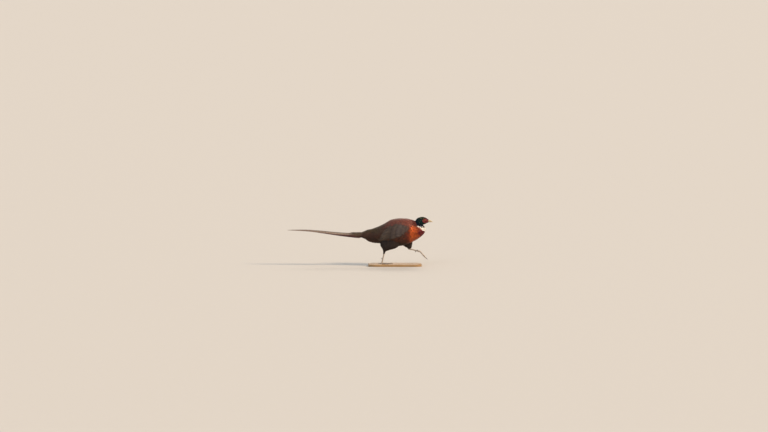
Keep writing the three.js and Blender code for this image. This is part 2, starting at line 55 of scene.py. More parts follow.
def smoothstep(low, high, value):
    t = np.clip((value - low) / (high - low), 0, 1)
    return t * t * (3 - 2 * t)


def mix(a, b, t):
    return a + (b - a) * t


def splineRows(rows, at):
    # rows of a table at fractional indexes, on a Catmull-Rom curve
    rows = np.asarray(rows, float)
    i = np.clip(np.floor(at).astype(int), 0, len(rows) - 2)
    t = (at - i)[:, None]
    a, b = rows[np.maximum(i - 1, 0)], rows[i]
    c, d = rows[i + 1], rows[np.minimum(i + 2, len(rows) - 1)]
    return b + 0.5 * t * (c - a + t * (2 * a - 5 * b + 4 * c - d + t * (3 * (b - c) + d - a)))


def treeOf(names):
    # one search tree over the faces of CAD nodes
    points, faces = [], []
    for name in names:
        mesh = bpy.data.objects[name].data
        faces += [[i + len(points) for i in p.vertices] for p in mesh.polygons]
        points += [tuple(v.co) for v in mesh.vertices]
    return BVHTree.FromPolygons(points, faces)


def unit(vectors):
    return vectors / (np.linalg.norm(vectors, axis=-1, keepdims=True) + 1e-12)


def newMesh(name, points, faces, floats=None, colours=None, maps=None):
    # faces is an array of quads or a list of polygons; maps and attributes have a value for each vertex
    mesh = bpy.data.meshes.new(name)
    points = np.asarray(points, np.float32)
    if isinstance(faces, np.ndarray):
        mesh.vertices.add(len(points))
        mesh.vertices.foreach_set("co", points.ravel())
        mesh.loops.add(faces.size)
        mesh.loops.foreach_set("vertex_index", faces.ravel().astype(np.int32))
        mesh.polygons.add(len(faces))
        mesh.polygons.foreach_set("loop_start", np.arange(0, faces.size, faces.shape[1], dtype=np.int32))
        mesh.update(calc_edges=True)
    else:
        mesh.from_pydata(points.tolist(), [], faces)
    mesh.polygons.foreach_set("use_smooth", np.ones(len(mesh.polygons), bool))
    corner = np.empty(len(mesh.loops), np.int32)
    mesh.loops.foreach_get("vertex_index", corner)
    for label, values in (maps or {}).items():
        layer = mesh.uv_layers.new(name=label)
        layer.data.foreach_set("uv", np.asarray(values, np.float32)[corner].ravel())
    for label, values in (floats or {}).items():
        layer = mesh.attributes.new(label, "FLOAT", "POINT")
        layer.data.foreach_set("value", np.asarray(values, np.float32))
    for label, values in (colours or {}).items():
        layer = mesh.attributes.new(label, "FLOAT_COLOR", "POINT")
        layer.data.foreach_set("color", np.asarray(values, np.float32).ravel())
    return mesh


def addPiece(name, mesh, material):
    piece = bpy.data.objects.new(name, mesh)
    bpy.context.scene.collection.objects.link(piece)
    mesh.materials.append(material)
    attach(piece, "root")
    return piece


def opaque(colours):
    # rows of colours with a full alpha
    return np.concatenate([colours, np.ones((len(colours), 1))], 1)


def loftFaces(rings, around, caps=True):
    # quads round a stack of rings, with one face across each end
    index = np.arange(rings * around).reshape(rings, around)
    after = np.roll(index, -1, 1)
    faces = np.stack([index[:-1], index[1:], after[1:], after[:-1]], -1).reshape(-1, 4).tolist()
    if caps:
        faces += [index[0].tolist(), index[-1, ::-1].tolist()]
    return faces


# Settings that every node of a kind has here, unless a call gives others
usualSettings = {"MapRange": {"interpolation_type": "SMOOTHSTEP"}, "Mix": {"data_type": "RGBA"}}


def addNode(tree, kind, inputs=(), output=0, **settings):
    # Adds one node with its settings and returns one of its output sockets. The inputs are a list in the
    # node's own order, or a dictionary by name or number; another node's socket among them is linked.
    # A colour Mix takes its share at 0 and its colours at 6 and 7, and gives the blend at output 2.
    made = tree.nodes.new("ShaderNode" + kind)
    for label, value in {**usualSettings.get(kind, {}), **settings}.items():
        setattr(made, label, value)
    for label, value in inputs.items() if isinstance(inputs, dict) else enumerate(inputs):
        if isinstance(value, bpy.types.NodeSocket):
            tree.links.new(value, made.inputs[label])
        else:
            made.inputs[label].default_value = value
    return made.outputs[output]


def newMaterial(name, settings):
    # a material with one Principled shader, its plain values set on its own sockets
    material = bpy.data.materials.new(name)
    material.use_nodes = True
    tree = material.node_tree
    shader = tree.nodes["Principled BSDF"]
    for label, value in settings.items():
        shader.inputs[label].default_value = value
    return material, tree, shader


def finishMaterial(tree, shader, colour, height, depth, roughness, strength=0.6):
    # the last links: colour, roughness, and a relief of this depth (mm)
    bump = addNode(tree, "Bump", {"Height": height, "Strength": strength, "Distance": depth * mm})
    for socket, value in (("Base Color", colour), ("Normal", bump), ("Roughness", roughness)):
        tree.links.new(value, shader.inputs[socket])


plumage = {
    "barbSpacing": 0.62,  # drawn coarser than the real 0.3 mm so that it shows
    "barbDepth": 0.12,
    "clump": 0.75,  # the barbs cling together in clumps of this width
    "clumpStretch": 2,  # every vane counts as this wide, so that the clumps run across it
    "grain": 0.34,  # how much lighter and darker the clumps are
    "driftWidth": 2.2,  # rims and marks wander by edgeWander over this length
    "edgeWander": 0.7,
    "rimFade": 0.45,
    "rootShade": 0.45,
    "barSpacing": 7.5,
    "barDrift": 1.5,
    "ring": "#1b0e0c",  # the dark ring round a pale mark
    "sheen": (0.5, 0.34, 0.24, 1),
    "glossSmooths": 0.24,  # how much less rough the glossiest feathers are
}


def barbHeights(tree):
    # fine streaks along the barbs, from the shaft out and towards the tip, and their clumps
    barb = addNode(tree, "Attribute", output="Fac", attribute_name="barb")
    across = addNode(tree, "SeparateXYZ", [addNode(tree, "UVMap", uv_map="vane")], 1)
    turn = addNode(tree, "Math", [barb, 2 * math.pi / plumage["barbSpacing"] / mm], operation="MULTIPLY")
    streak = addNode(tree, "Math", [turn], operation="SINE")
    sideways = addNode(tree, "Math", [across, plumage["clumpStretch"] * mm], operation="MULTIPLY")
    clump = addNode(tree, "TexNoise", {
        "Vector": addNode(tree, "CombineXYZ", [barb, sideways]), "Scale": 1 / (plumage["clump"] * mm),
        "Detail": 3.0, "Roughness": 0.6})
    return streak, clump, across


def plumageMaterial(name, roughness, gloss, sheen, pattern):
    # Vaned keratin, its barbs zipped flat: a satin surface with a fine grain that runs out from the shaft,
    # darker towards the downy root, drawn round its rim; the gloss of each region adds a metallic shine
    material, tree, shader = newMaterial(name, {
        "IOR": 1.54, "Sheen Weight": sheen, "Sheen Roughness": 0.45, "Sheen Tint": plumage["sheen"],
        "Specular IOR Level": 0.3})
    streak, clump, across = barbHeights(tree)
    along = addNode(tree, "SeparateXYZ", [addNode(tree, "UVMap", uv_map="vane")])
    ground, rim, mark = (addNode(tree, "Attribute", attribute_name=key) for key in ("ground", "rim", "mark"))
    rimWidth, shine, markAmount = (socket.node.outputs["Alpha"] for socket in (ground, rim, mark))
    # the rim, only on the outer part of the vane
    drift = addNode(tree, "TexNoise", {
        "Vector": addNode(tree, "TexCoord", output="Object"), "Scale": 1 / (plumage["driftWidth"] * mm),
        "Detail": 2.0, "Roughness": 0.6})
    wander = addNode(tree, "MapRange", [
        drift, 0.2, 0.8, -0.5 * plumage["edgeWander"], 0.5 * plumage["edgeWander"]])
    edge = addNode(tree, "Attribute", output="Fac", attribute_name="edge")
    edge = addNode(tree, "Math", [edge, wander], operation="ADD")
    rimEnd = addNode(tree, "Math", [rimWidth, plumage["rimFade"]], operation="ADD")
    inRim = addNode(tree, "MapRange", [edge, rimWidth, rimEnd, 1.0, 0.0])
    nearTip = addNode(tree, "MapRange", [along, 0.6, 0.86])
    rimHere = addNode(tree, "Math", [inRim, nearTip], operation="MULTIPLY")
    # the marks: bars that slant out along the barbs, or one pale heart with a dark ring
    ring = None
    if pattern == "bars":
        barb = addNode(tree, "Attribute", output="Fac", attribute_name="barb")
        drifting = addNode(tree, "Math", [wander, plumage["barDrift"] * mm], operation="MULTIPLY")
        slant = addNode(tree, "Math", [barb, drifting], operation="ADD")
        turn = addNode(tree, "Math", [slant, 2 * math.pi / plumage["barSpacing"] / mm], operation="MULTIPLY")
        wave = addNode(tree, "Math", [turn], operation="SINE")
        core = addNode(tree, "MapRange", [wave, 0.1, 0.65])
    else:
        heart = addNode(tree, "Attribute", output="Fac", attribute_name="core")
        drifting = addNode(tree, "Math", [wander, 0.3], operation="MULTIPLY")
        heart = addNode(tree, "Math", [heart, drifting], operation="ADD")
        ringStart = addNode(tree, "MapRange", [heart, 0.85, 1.05])
        ringEnd = addNode(tree, "MapRange", [heart, 1.1, 1.45, 1.0, 0.0])
        ring = addNode(tree, "Math", [ringStart, ringEnd], operation="MULTIPLY")
        core = addNode(tree, "MapRange", [heart, 0.9, 1.05, 1.0, 0.0])
    share = addNode(tree, "Math", [core, markAmount], operation="MULTIPLY")
    colour = addNode(tree, "Mix", {0: share, 6: ground, 7: mark}, 2)
    if ring is not None:
        share = addNode(tree, "Math", [ring, markAmount], operation="MULTIPLY")
        colour = addNode(tree, "Mix", {0: share, 6: colour, 7: linear(plumage["ring"]) + [1]}, 2)
    colour = addNode(tree, "Mix", {0: rimHere, 6: colour, 7: rim}, 2)
    # light and shade: clumps of barbs, the darker root and the paler shaft
    grain = plumage["grain"]
    tone = addNode(tree, "MapRange", [clump, 0.25, 0.75, 1 - grain, 1 + grain])
    fromRoot = addNode(tree, "MapRange", [along, 0.15, 0.6, plumage["rootShade"], 1.0])
    shade = addNode(tree, "Math", [tone, fromRoot], operation="MULTIPLY")
    offShaft = addNode(tree, "Math", [across, 0.5], operation="SUBTRACT")
    offShaft = addNode(tree, "Math", [offShaft], operation="ABSOLUTE")
    shaft = addNode(tree, "MapRange", [offShaft, 0.0, 0.03, 1.16, 1.0])
    shade = addNode(tree, "Math", [shade, shaft], operation="MULTIPLY")
    colour = addNode(tree, "Mix", {0: 1.0, 6: colour, 7: shade}, 2, blend_type="MULTIPLY")
    tree.links.new(addNode(tree, "Math", [shine, gloss], operation="MULTIPLY"), shader.inputs["Metallic"])
    height = addNode(tree, "Math", [streak, clump], operation="ADD")
    rough = addNode(tree, "MapRange", [shine, 0.0, 1.0, roughness, roughness - plumage["glossSmooths"]])
    finishMaterial(tree, shader, colour, height, plumage["barbDepth"], rough, 0.55)
    return material


# The trunk, neck and head as one smooth form: stations along its inner line from the tail's root to the
# bill, as [x, z, how far the section leans back in degrees]
trunkLine = [
    [-168, 177, 7], [-140, 170, 2], [-111, 171.5, -1.5], [-82, 176.5, 0], [-52.5, 180, 0.5],
    [-23, 185.5, 1.5], [8.5, 188, 2.6], [42.5, 190.5, 2.6], [73, 194, 2.6], [97, 199, 6.5],
    [115.5, 205, 15.6], [129, 212, 27], [138.5, 219, 38.8], [142.5, 227.6, 48.5], [141.7, 235.8, 54.4],
    [138.7, 242, 53], [139.2, 246.5, 46], [144, 250, 40.5], [151.5, 253.4, 34], [160, 255.4, 26],
    [169, 256.2, 19.4], [178, 255.3, 12.2], [184.5, 252.8, 6],
]
bodyForm = {
    "rowsPerStation": 12,
    "around": 144,
    "thinnest": 4.0,  # what is thinner stands off the form, and isn't part of it
    "covertReach": 135,  # the coverts lie on the tail this far behind the rump
    "covertWidth": [20, 37],  # half the bed's width at the rump and at its end
    "covertDepth": [20, 10],  # how deep its keel hangs under the tail's line, at the same places
    "covertRoof": [1.5, 0.33],  # its height over the tail's line, and how steeply it falls off
    "covertKeel": [0.55, 0.42],  # how steeply the keel widens, at the rump and at its end
    "frontRows": 7,  # rings between the head's last one and the bill's root
    "billRoot": {"x": 186.8, "overBill": 2.3, "underBill": 1.2, "half": 6.3, "z": 251.7, "tall": 8.3},
    "wingBulge": 6.5,  # the folded wing's thickness over the trunk
    "rumpFill": 5.5,  # how much the rump's loose feathers fill its waist
}
tailForm = {
    "rootX": -168, "rootZ": 187, "rise": 18.5, "riseFrom": 70, "riseTo": 360, "sag": 3.5,
    "longest": 434, "shortest": 120, "graduation": 1.45, "pairs": 9, "width": 38, "narrowing": 1.7,
    "stack": 1.55, "thick": 0.5, "camber": 0.05, "shaftHeight": 0.8, "fringe": 0.75,
    "roll": (18, 2.4),  # degrees for the middle pair, and how much more for each pair outwards
    "spread": (0.1, 0.12),  # the same, seen from above
    "ground": "#775a3b", "edge": "#532e2a", "bar": "#1d110d", "shaft": "#a38a66", "nearRoot": "#443631",
    "barSpacing": 17, "barSlant": 9, "barWander": 5, "wanderWidth": 4.0,
}


def tailHeight(s):
    # the tail's upper line at a distance behind its root
    t = tailForm
    return (t["rootZ"] + t["rise"] * smoothstep(t["riseFrom"], t["riseTo"], s)
            - t["sag"] * (s / t["longest"]) ** 6)


def castForm(tree, centre, direction):
    # rays from outside onto the solids give the form's radius at each station and angle
    reach, step, layers = 0.16, 1e-5, 6  # metres outside, metres past a face, thin parts passed at most
    thin = bodyForm["thinnest"] * mm
    radius = np.full(direction.shape[:2], np.nan)
    for i in range(direction.shape[0]):
        middle = Vector(centre[i])
        for j in range(direction.shape[1]):
            out = Vector(direction[i, j])
            left = reach
            for _ in range(layers):
                hit = tree.ray_cast(middle + out * left, -out, left)
                if hit[0] is None:
                    break
                inner = tree.ray_cast(hit[0] - out * step, -out, thin)
                if inner[0] is None:
                    radius[i, j] = (hit[0] - middle).length
                    break
                left = (inner[0] - middle).length - step
    index = np.arange(direction.shape[1])
    for i, row in enumerate(radius):
        good = ~np.isnan(row)
        if good.any():
            row[~good] = np.interp(index[~good], index[good], row[good], period=len(row))
        else:
            radius[i] = radius[i - 1]
    for _ in range(3):
        padded = np.pad(radius, ((1, 1), (0, 0)), mode="edge")
        along = (padded[:-2] + 2 * radius + padded[2:]) / 4
        radius = (np.roll(along, 1, 1) + 2 * along + np.roll(along, -1, 1)) / 4
    return radius


def covertBed(angles):
    # the bed of the tail coverts, a roof over the tail and a keel under it
    setup = bodyForm
    count = int(setup["covertReach"] / 3)
    t = np.arange(count) / count
    behind = setup["covertReach"] * (1 - t)
    share = (behind / setup["covertReach"])[:, None]
    y = mix(*setup["covertWidth"], share) * np.sin(angles)[None]
    over = setup["covertRoof"][0] - setup["covertRoof"][1] * np.abs(y)
    under = -mix(*setup["covertDepth"], share) - mix(*setup["covertKeel"], share) * np.abs(y)
    z = tailHeight(behind)[:, None] + mix(over, under, smoothstep(1.0, -1.0, np.cos(angles)[None]))
    bed = np.stack([np.repeat((tailForm["rootX"] - behind)[:, None], len(angles), 1), y, z], -1) * mm
    return bed, -t[::-1] * 3 - 0.01


def bridge(rows, first, last):
    # the rows from first to last on one smooth curve, so that the rump flows into the tail
    t = np.linspace(0, 1, last - first + 1)[:, None, None]
    leave = (rows[first] - rows[first - 2]) / 2 * (last - first)
    arrive = (rows[last + 2] - rows[last]) / 2 * (last - first)
    rows[first:last + 1] = ((2 * t ** 3 - 3 * t ** 2 + 1) * rows[first] + (t ** 3 - 2 * t ** 2 + t) * leave
                            + (3 * t ** 2 - 2 * t ** 3) * rows[last] + (t ** 3 - t ** 2) * arrive)
    return rows


def billRing(angles, last):
    # rings that round the head off from its last ring to the bill's root
    root = bodyForm["billRoot"]
    t = (np.arange(1, bodyForm["frontRows"] + 1) / bodyForm["frontRows"] * np.pi / 2)[:, None, None]
    x = (root["x"] + root["overBill"] * np.maximum(np.cos(angles), 0) ** 2
         + root["underBill"] * np.maximum(-np.cos(angles), 0) ** 2)
    end = np.stack([x, root["half"] * np.sin(angles), root["z"] + root["tall"] * np.cos(angles)], 1) * mm
    ahead = last + (end - last) * (1, 0, 0) * np.sin(t)
    return ahead + (end - last) * (0, 1, 1) * (1 - np.cos(t))


def bodySurface():
    tree = treeOf(["torso", "neck", "head"])
    step = bodyForm["rowsPerStation"]
    at = np.arange((len(trunkLine) - 1) * step + 1) / step
    line = splineRows(trunkLine, at)
    angles = np.arange(bodyForm["around"]) / bodyForm["around"] * 2 * np.pi
    centre = np.stack([line[:, 0], np.zeros(len(line)), line[:, 1]], 1) * mm
    lean = np.radians(line[:, 2])
    up = np.stack([-np.sin(lean), np.zeros(len(line)), np.cos(lean)], 1)
    side = np.array([0.0, 1.0, 0.0])
    direction = up[:, None] * np.cos(angles)[None, :, None] + side * np.sin(angles)[None, :, None]
    radius = castForm(tree, centre, direction)
    points = centre[:, None] + direction * radius[:, :, None]
    behind, stations = covertBed(angles)
    front = billRing(angles, points[-1])
    rows = bridge(np.concatenate([behind, points, front]), len(behind) - 4, len(behind) + step)
    return rows, np.concatenate([stations, at, at[-1] + np.arange(1, len(front) + 1) / step])


def surfaceOf(points, soften=4):
    # a closed grid of points with its normals and the real size of one step each way
    along = np.gradient(points, axis=0)
    around = (np.roll(points, -1, 1) - np.roll(points, 1, 1)) / 2
    normal = unit(np.cross(along, around))
    middle = points.mean(axis=1, keepdims=True)
    normal *= np.sign(((points - middle) * normal).sum(axis=2).mean())
    for _ in range(soften):
        normal[1:-1] = (normal[:-2] + 2 * normal[1:-1] + normal[2:]) / 4
        normal = (np.roll(normal, 1, 1) + 2 * normal + np.roll(normal, -1, 1)) / 4
    return {
        "points": points, "normals": unit(normal),
        "stepU": np.maximum(np.linalg.norm(along, axis=2), 0.0002),
        "stepV": np.maximum(np.linalg.norm(around, axis=2), 0.0002),
    }


def sample(field, u, v):
    # a field of a surface at fractional rows and columns
    rows, columns = field.shape[:2]
    u = np.clip(u, 0, rows - 1.001)
    i = np.floor(u).astype(int)
    a = u - i
    j = np.floor(v).astype(int)
    b = v - j
    j %= columns
    k = (j + 1) % columns
    if field.ndim == 3:
        a, b = a[..., None], b[..., None]
    return ((field[i, j] * (1 - a) + field[i + 1, j] * a) * (1 - b)
            + (field[i, k] * (1 - a) + field[i + 1, k] * a) * b)


def insideOutline(corners, x, z):
    # how far (mm) a place lies inside an outline in side view, negative outside it
    inside = np.zeros(len(x), bool)
    gap = np.full(len(x), 1e9)
    for (ax, az), (bx, bz) in zip(corners, corners[1:] + corners[:1]):
        crosses = (az > z) != (bz > z)
        inside ^= crosses & (x < (bx - ax) * (z - az) / (bz - az + 1e-9) + ax)
        t = np.clip(((x - ax) * (bx - ax) + (z - az) * (bz - az)) / ((bx - ax) ** 2 + (bz - az) ** 2), 0, 1)
        gap = np.minimum(gap, np.hypot(x - ax - t * (bx - ax), z - az - t * (bz - az)))
    return np.where(inside, gap, -gap)


# The folded wing's outline in side view
wingOutline = [
    (90, 206), (76, 192), (58, 178), (22, 158), (-18, 141), (-58, 135), (-96, 143), (-84, 168),
    (-62, 200), (-30, 236), (4, 249), (42, 250), (68, 241), (86, 226),
]

print("stage: the body's form")
form, station = bodySurface()
bodyUnder = surfaceOf(form)
rowCount, aroundCount = form.shape[:2]
flatForm = form.reshape(-1, 3) / mm
formX = flatForm[:, 0]
wingDepth = insideOutline(wingOutline, formX, flatForm[:, 2]) * (np.abs(flatForm[:, 1]) > 12)
bulge = bodyForm["wingBulge"] * smoothstep(-1, 20, wingDepth) * mix(0.35, 1, smoothstep(-80, 10, formX))
bulge = bulge + bodyForm["rumpFill"] * smoothstep(-128, -160, formX) * smoothstep(-190, -168, formX)
bulge = bulge.reshape(rowCount, aroundCount)
body = surfaceOf(form + bodyUnder["normals"] * bulge[:, :, None] * mm)


def onForm(x, z, side):
    # the fractional row and column of the body that show at x and z (mm) from one side
    half = np.arange(0, aroundCount // 2 + 1) if side > 0 else np.arange(aroundCount // 2, aroundCount + 1)
    part = body["points"][:, half % aroundCount]
    flat = part.reshape(-1, 3)
    result = []
    for px, pz in zip(np.atleast_1d(x), np.atleast_1d(z)):
        gaps = (flat[:, 0] - px * mm) ** 2 + (flat[:, 2] - pz * mm) ** 2
        near = np.argsort(gaps)[:4]
        weight = 1 / (gaps[near] + 1e-9)
        weight /= weight.sum()
        rows, columns = near // len(half), near % len(half)
        result.append([(rows * weight).sum(), (columns * weight).sum() + half[0]])
    return np.array(result)


def vaneTemplate(along, across):
    # the places on one vane, closer towards its tip, and the quads of its closed body
    k = np.linspace(0, 1, along + 1)
    s, t = np.meshgrid(1 - (1 - k) ** 1.5, np.linspace(-1, 1, across + 1), indexing="ij")
    count = s.size
    index = np.arange(count).reshape(along + 1, across + 1)
    top = np.stack([index[:-1, :-1], index[1:, :-1], index[1:, 1:], index[:-1, 1:]], -1).reshape(-1, 4)
    outline = np.concatenate([index[0, :-1], index[:-1, -1], index[-1, :0:-1], index[:0:-1, 0]])
    after = np.roll(outline, -1)
    wall = np.stack([outline, after, after + count, outline + count], -1)
    return s.ravel(), t.ravel(), np.concatenate([top, top[:, ::-1] + count, wall])


def bakePlaces(root, surface, s, t, upper):
    # OFBake: a patch for each vane at its root's place on the unwrapped surface, its two faces side by side
    patchSize = 0.003
    rows, columns = surface["points"].shape[:2]
    home = np.stack([root[:, 0] / rows, (root[:, 1] % columns) / columns], 1) * 0.97 + 0.015
    patch = np.stack([(s - 0.5) * patchSize, (t / 4 + np.where(upper, 0.25, -0.25)) * patchSize], 1)
    return (home[:, None] + patch[None]).reshape(-1, 2)


def cellPlaces(number, s, t, upper):
    # OFBake for large vanes: each has a cell of its own, its two faces side by side
    side = math.ceil(math.sqrt(number))
    cell = np.stack([np.arange(number) % side, np.arange(number) // side], 1)
    patch = np.stack([0.04 + 0.92 * s, 0.5 + (t * 0.21 + np.where(upper, 0.25, -0.25))], 1)
    return ((cell[:, None] + patch[None]) / side).reshape(-1, 2)


vaneForm = {  # what a feather has unless its own spec says otherwise; sizes in mm, the rest as shares
    "ragged": 0.05,  # how far the tip's barbs stand out of line
    "setBack": 0.12,  # how far the vane's sides end before its middle
    "quill": 0.4, "widest": 0.6, "tipWidth": 0.4, "tipPower": 2.4,
    "risePower": 0.7, "camber": 0.05, "ridge": 0.0, "thick": 0.35,
    "cells": False,  # a large vane has a cell of its own in OFBake
}


def layVanes(surface, root, tip, width, spec, looks):
    # closed vanes over a surface, from root to tip places (rows, columns), each with its own looks
    spec = {**vaneForm, **spec}
    s, t, quads = vaneTemplate(*spec["grid"])
    number = len(root)
    across = spec["grid"][1] + 1
    # the outline: a quill that widens, then a rounded tip with frayed barbs
    fray = rng.uniform(-spec["ragged"], spec["ragged"] / 3, (number, across))
    fray = np.tile(fray, (1, spec["grid"][0] + 1))
    reach = s[None] * (1 - spec["setBack"] * t[None] ** 2 * s[None] ** 3) + fray * s[None] ** 5
    over = np.clip((s - spec["widest"]) / (1 - spec["widest"]), 0, 1)
    shape = np.where(s < spec["widest"], mix(spec["quill"], 1, smoothstep(0, spec["widest"], s)),
                     np.sqrt(1 - (1 - spec["tipWidth"] ** 2) * over ** spec["tipPower"]))
    course = (tip - root)[:, None]
    u = root[:, None, 0] + course[..., 0] * reach
    v = root[:, None, 1] + course[..., 1] * reach
    stepU = sample(surface["stepU"], u, v)
    stepV = sample(surface["stepV"], u, v)
    courseU, courseV = course[..., 0] * stepU, course[..., 1] * stepV
    size = np.hypot(courseU, courseV) + 1e-12
    lateral = width[:, None] / 2 * shape[None] * t[None]
    lateral = lateral + looks["curve"][:, None] * width[:, None] * s[None] ** 2
    u = u - courseV / size * lateral / stepU
    v = v + courseU / size * lateral / stepV
    place = sample(surface["points"], u, v)
    normal = unit(sample(surface["normals"], u, v))
    # how high it stands: rising to its tip, cambered, rolled to one side, with a raised shaft
    wide = width[:, None] / mm
    rise = mix(spec["lift"][0], spec["lift"][1], s[None] ** spec["risePower"])
    rise = rise + looks["lift"][:, None] * np.minimum(1, 1.6 * s[None])
    rise = rise + spec["camber"] * wide * (1 - t[None] ** 2) * smoothstep(0, 0.4, s)[None]
    rise = rise + looks["roll"][:, None] * t[None] * smoothstep(0, 0.5, s)[None]
    rise = rise + spec["ridge"] * np.exp(-(t[None] / 0.1) ** 2) * (1 - s[None])
    thick = spec["thick"] * (1 - 0.6 * s[None] ** 2)
    top = place + normal * (rise * mm)[:, :, None]
    under = place + normal * ((rise - thick) * mm)[:, :, None]
    points = np.concatenate([top, under], 1).reshape(-1, 3)
    perVane = 2 * s.size
    faces = (quads[None] + (np.arange(number) * perVane)[:, None, None]).reshape(-1, 4)
    # what the plumage reads: mm to the rim, m along the barbs, and the distance from the mark's middle
    s2, t2, shape2 = np.tile(s, 2), np.tile(t, 2), np.tile(shape, 2)
    upper = np.arange(perVane) < s.size
    length = np.linalg.norm(place[:, -1 - across // 2] - place[:, across // 2], axis=1)[:, None] / mm
    sideGap = (1 - np.abs(t2))[None] * wide / 2 * shape2[None]
    tipGap = (1 - s2)[None] * length
    edge = -np.log(np.exp(-1.3 * sideGap) + np.exp(-1.3 * tipGap)) / 1.3
    start = rng.uniform(0, 9, number)[:, None]
    barb = (s2[None] * length + np.abs(t2)[None] * wide * 0.5 + start) * mm
    core = np.hypot((s2 - 0.7) / 0.15, t2 / 0.27)
    places = cellPlaces(number, s2, t2, upper) if spec["cells"] else bakePlaces(root, surface, s2, t2, upper)
    return {
        "points": points, "faces": faces,
        "maps": {"OFBake": places, "vane": np.tile(np.stack([s2, 0.5 + t2 / 2], 1), (number, 1))},
        "floats": {"edge": edge.ravel(), "barb": barb.ravel(), "core": np.tile(core, number)},
        "colours": {key: np.repeat(looks[key], perVane, 0) for key in ("ground", "rim", "mark")},
    }


def addVanes(name, vanes, material):
    return addPiece(name, newMesh(name, **vanes), material)


print("stage: plumage materials")
bodyPlumage = plumageMaterial("contour_feather_satin", 0.6, 0.4, 0.2, "core")
headPlumage = plumageMaterial("head_feather_glossy", 0.48, 0.6, 0.08, "core")
coverPlumage = plumageMaterial("covert_feather_matt", 0.6, 0.25, 0.15, "core")
flightPlumage = plumageMaterial("flight_feather_barred", 0.56, 0.25, 0.12, "bars")

coat = {
    "skinDepth": {"trunk": 4.0, "neck": 2.4, "head": 1.1, "face": 0.3},
    "spacing": {
        "rump": 5.2, "back": 6.3, "breast": 5.3, "belly": 6.8, "neck": 2.2, "head": 1.55, "chin": 1.4},
    "lengthRatio": 3.0,
    "widthRatio": 1.9,
    "looseLength": 0.3,  # the rump's feathers are longer, narrower and looser
    "wingEdgeLift": (1.0, 0.9),  # they stand up against the folded wing, and more along its lower edge
}
# Painted light and shade on the trunk: copperLit is the breast's copper, painted brighter on its front as if
# lit; flankShaded is the flank's coppery brown, painted darker as shade; copperDeep lies between them
hue = {
    "head": "#0c2a22", "headBlue": "#10233a", "crown": "#2c3420", "nape": "#0e2530",
    "collar": "#fbf8f1", "throat": "#1d1436", "bib": "#7a1a25", "copperLit": "#bf551b", "copperDeep": "#722b13",
    "flankShaded": "#522613", "belly": "#24150f", "vent": "#331b10", "mantle": "#79372c", "mantleMark": "#ae8460",
    "scapular": "#66352d", "scapularMark": "#9c7b5c", "back": "#452c22", "rump": "#3a2f1d",
    "rumpSide": "#412517", "coverts": "#4d402e", "rimDark": "#140a0c", "rimPurple": "#2c0e24",
    "rimMaroon": "#551c1d", "rimRump": "#6f4d2c", "thigh": "#20130d",
}
hue = {key: np.array(linear(value)) for key, value in hue.items()}
# The trunk's colours, laid over one another in this order: [x where it starts, x where it is full, and
# the same for z]; bib and belly have outlines of their own
coatRegions = {
    "rump": (-40, -95, 0, 1),
    "rumpSide": (-20, -80, 206, 176),
    "scapular": (-60, -10, 195, 228),
    "mantle": (35, 75, 212, 236),
    # painted shade on the flank and painted light on the breast's front, over their own copper
    "flankShaded": (-30, 30, 214, 180),
    "copperDeep": (55, 92, 230, 205),
    "copperLit": (84, 104, 236, 218),
    "bib": None,
    "belly": None,
    "vent": (-60, -105, 166, 148),
    "coverts": (-160, -190, 165, 178),
}
bib = {"x": 160, "z": 192, "reachX": 26, "reachZ": 21}
# The white collar in side view: from a point at the neck's side to its full height in front
collar = {"x": 131, "z": 226, "slope": -0.467, "reach": 40, "half": 1.3, "halfFront": 10.5}
neckBack = {"x": 112, "z": 257, "alongX": 31, "alongZ": 19}  # the head's colours start ahead of this line
face = {"x": 171, "z": 253.5, "reachX": 16.5, "reachZ": 12.5}  # the bare face in side view


def blend(base, name, weight):
    # one of the plumage's colours laid over rows of colours, more or less strongly
    weight = np.clip(weight, 0, 1)[:, None]
    return base * (1 - weight) + hue[name][None] * weight


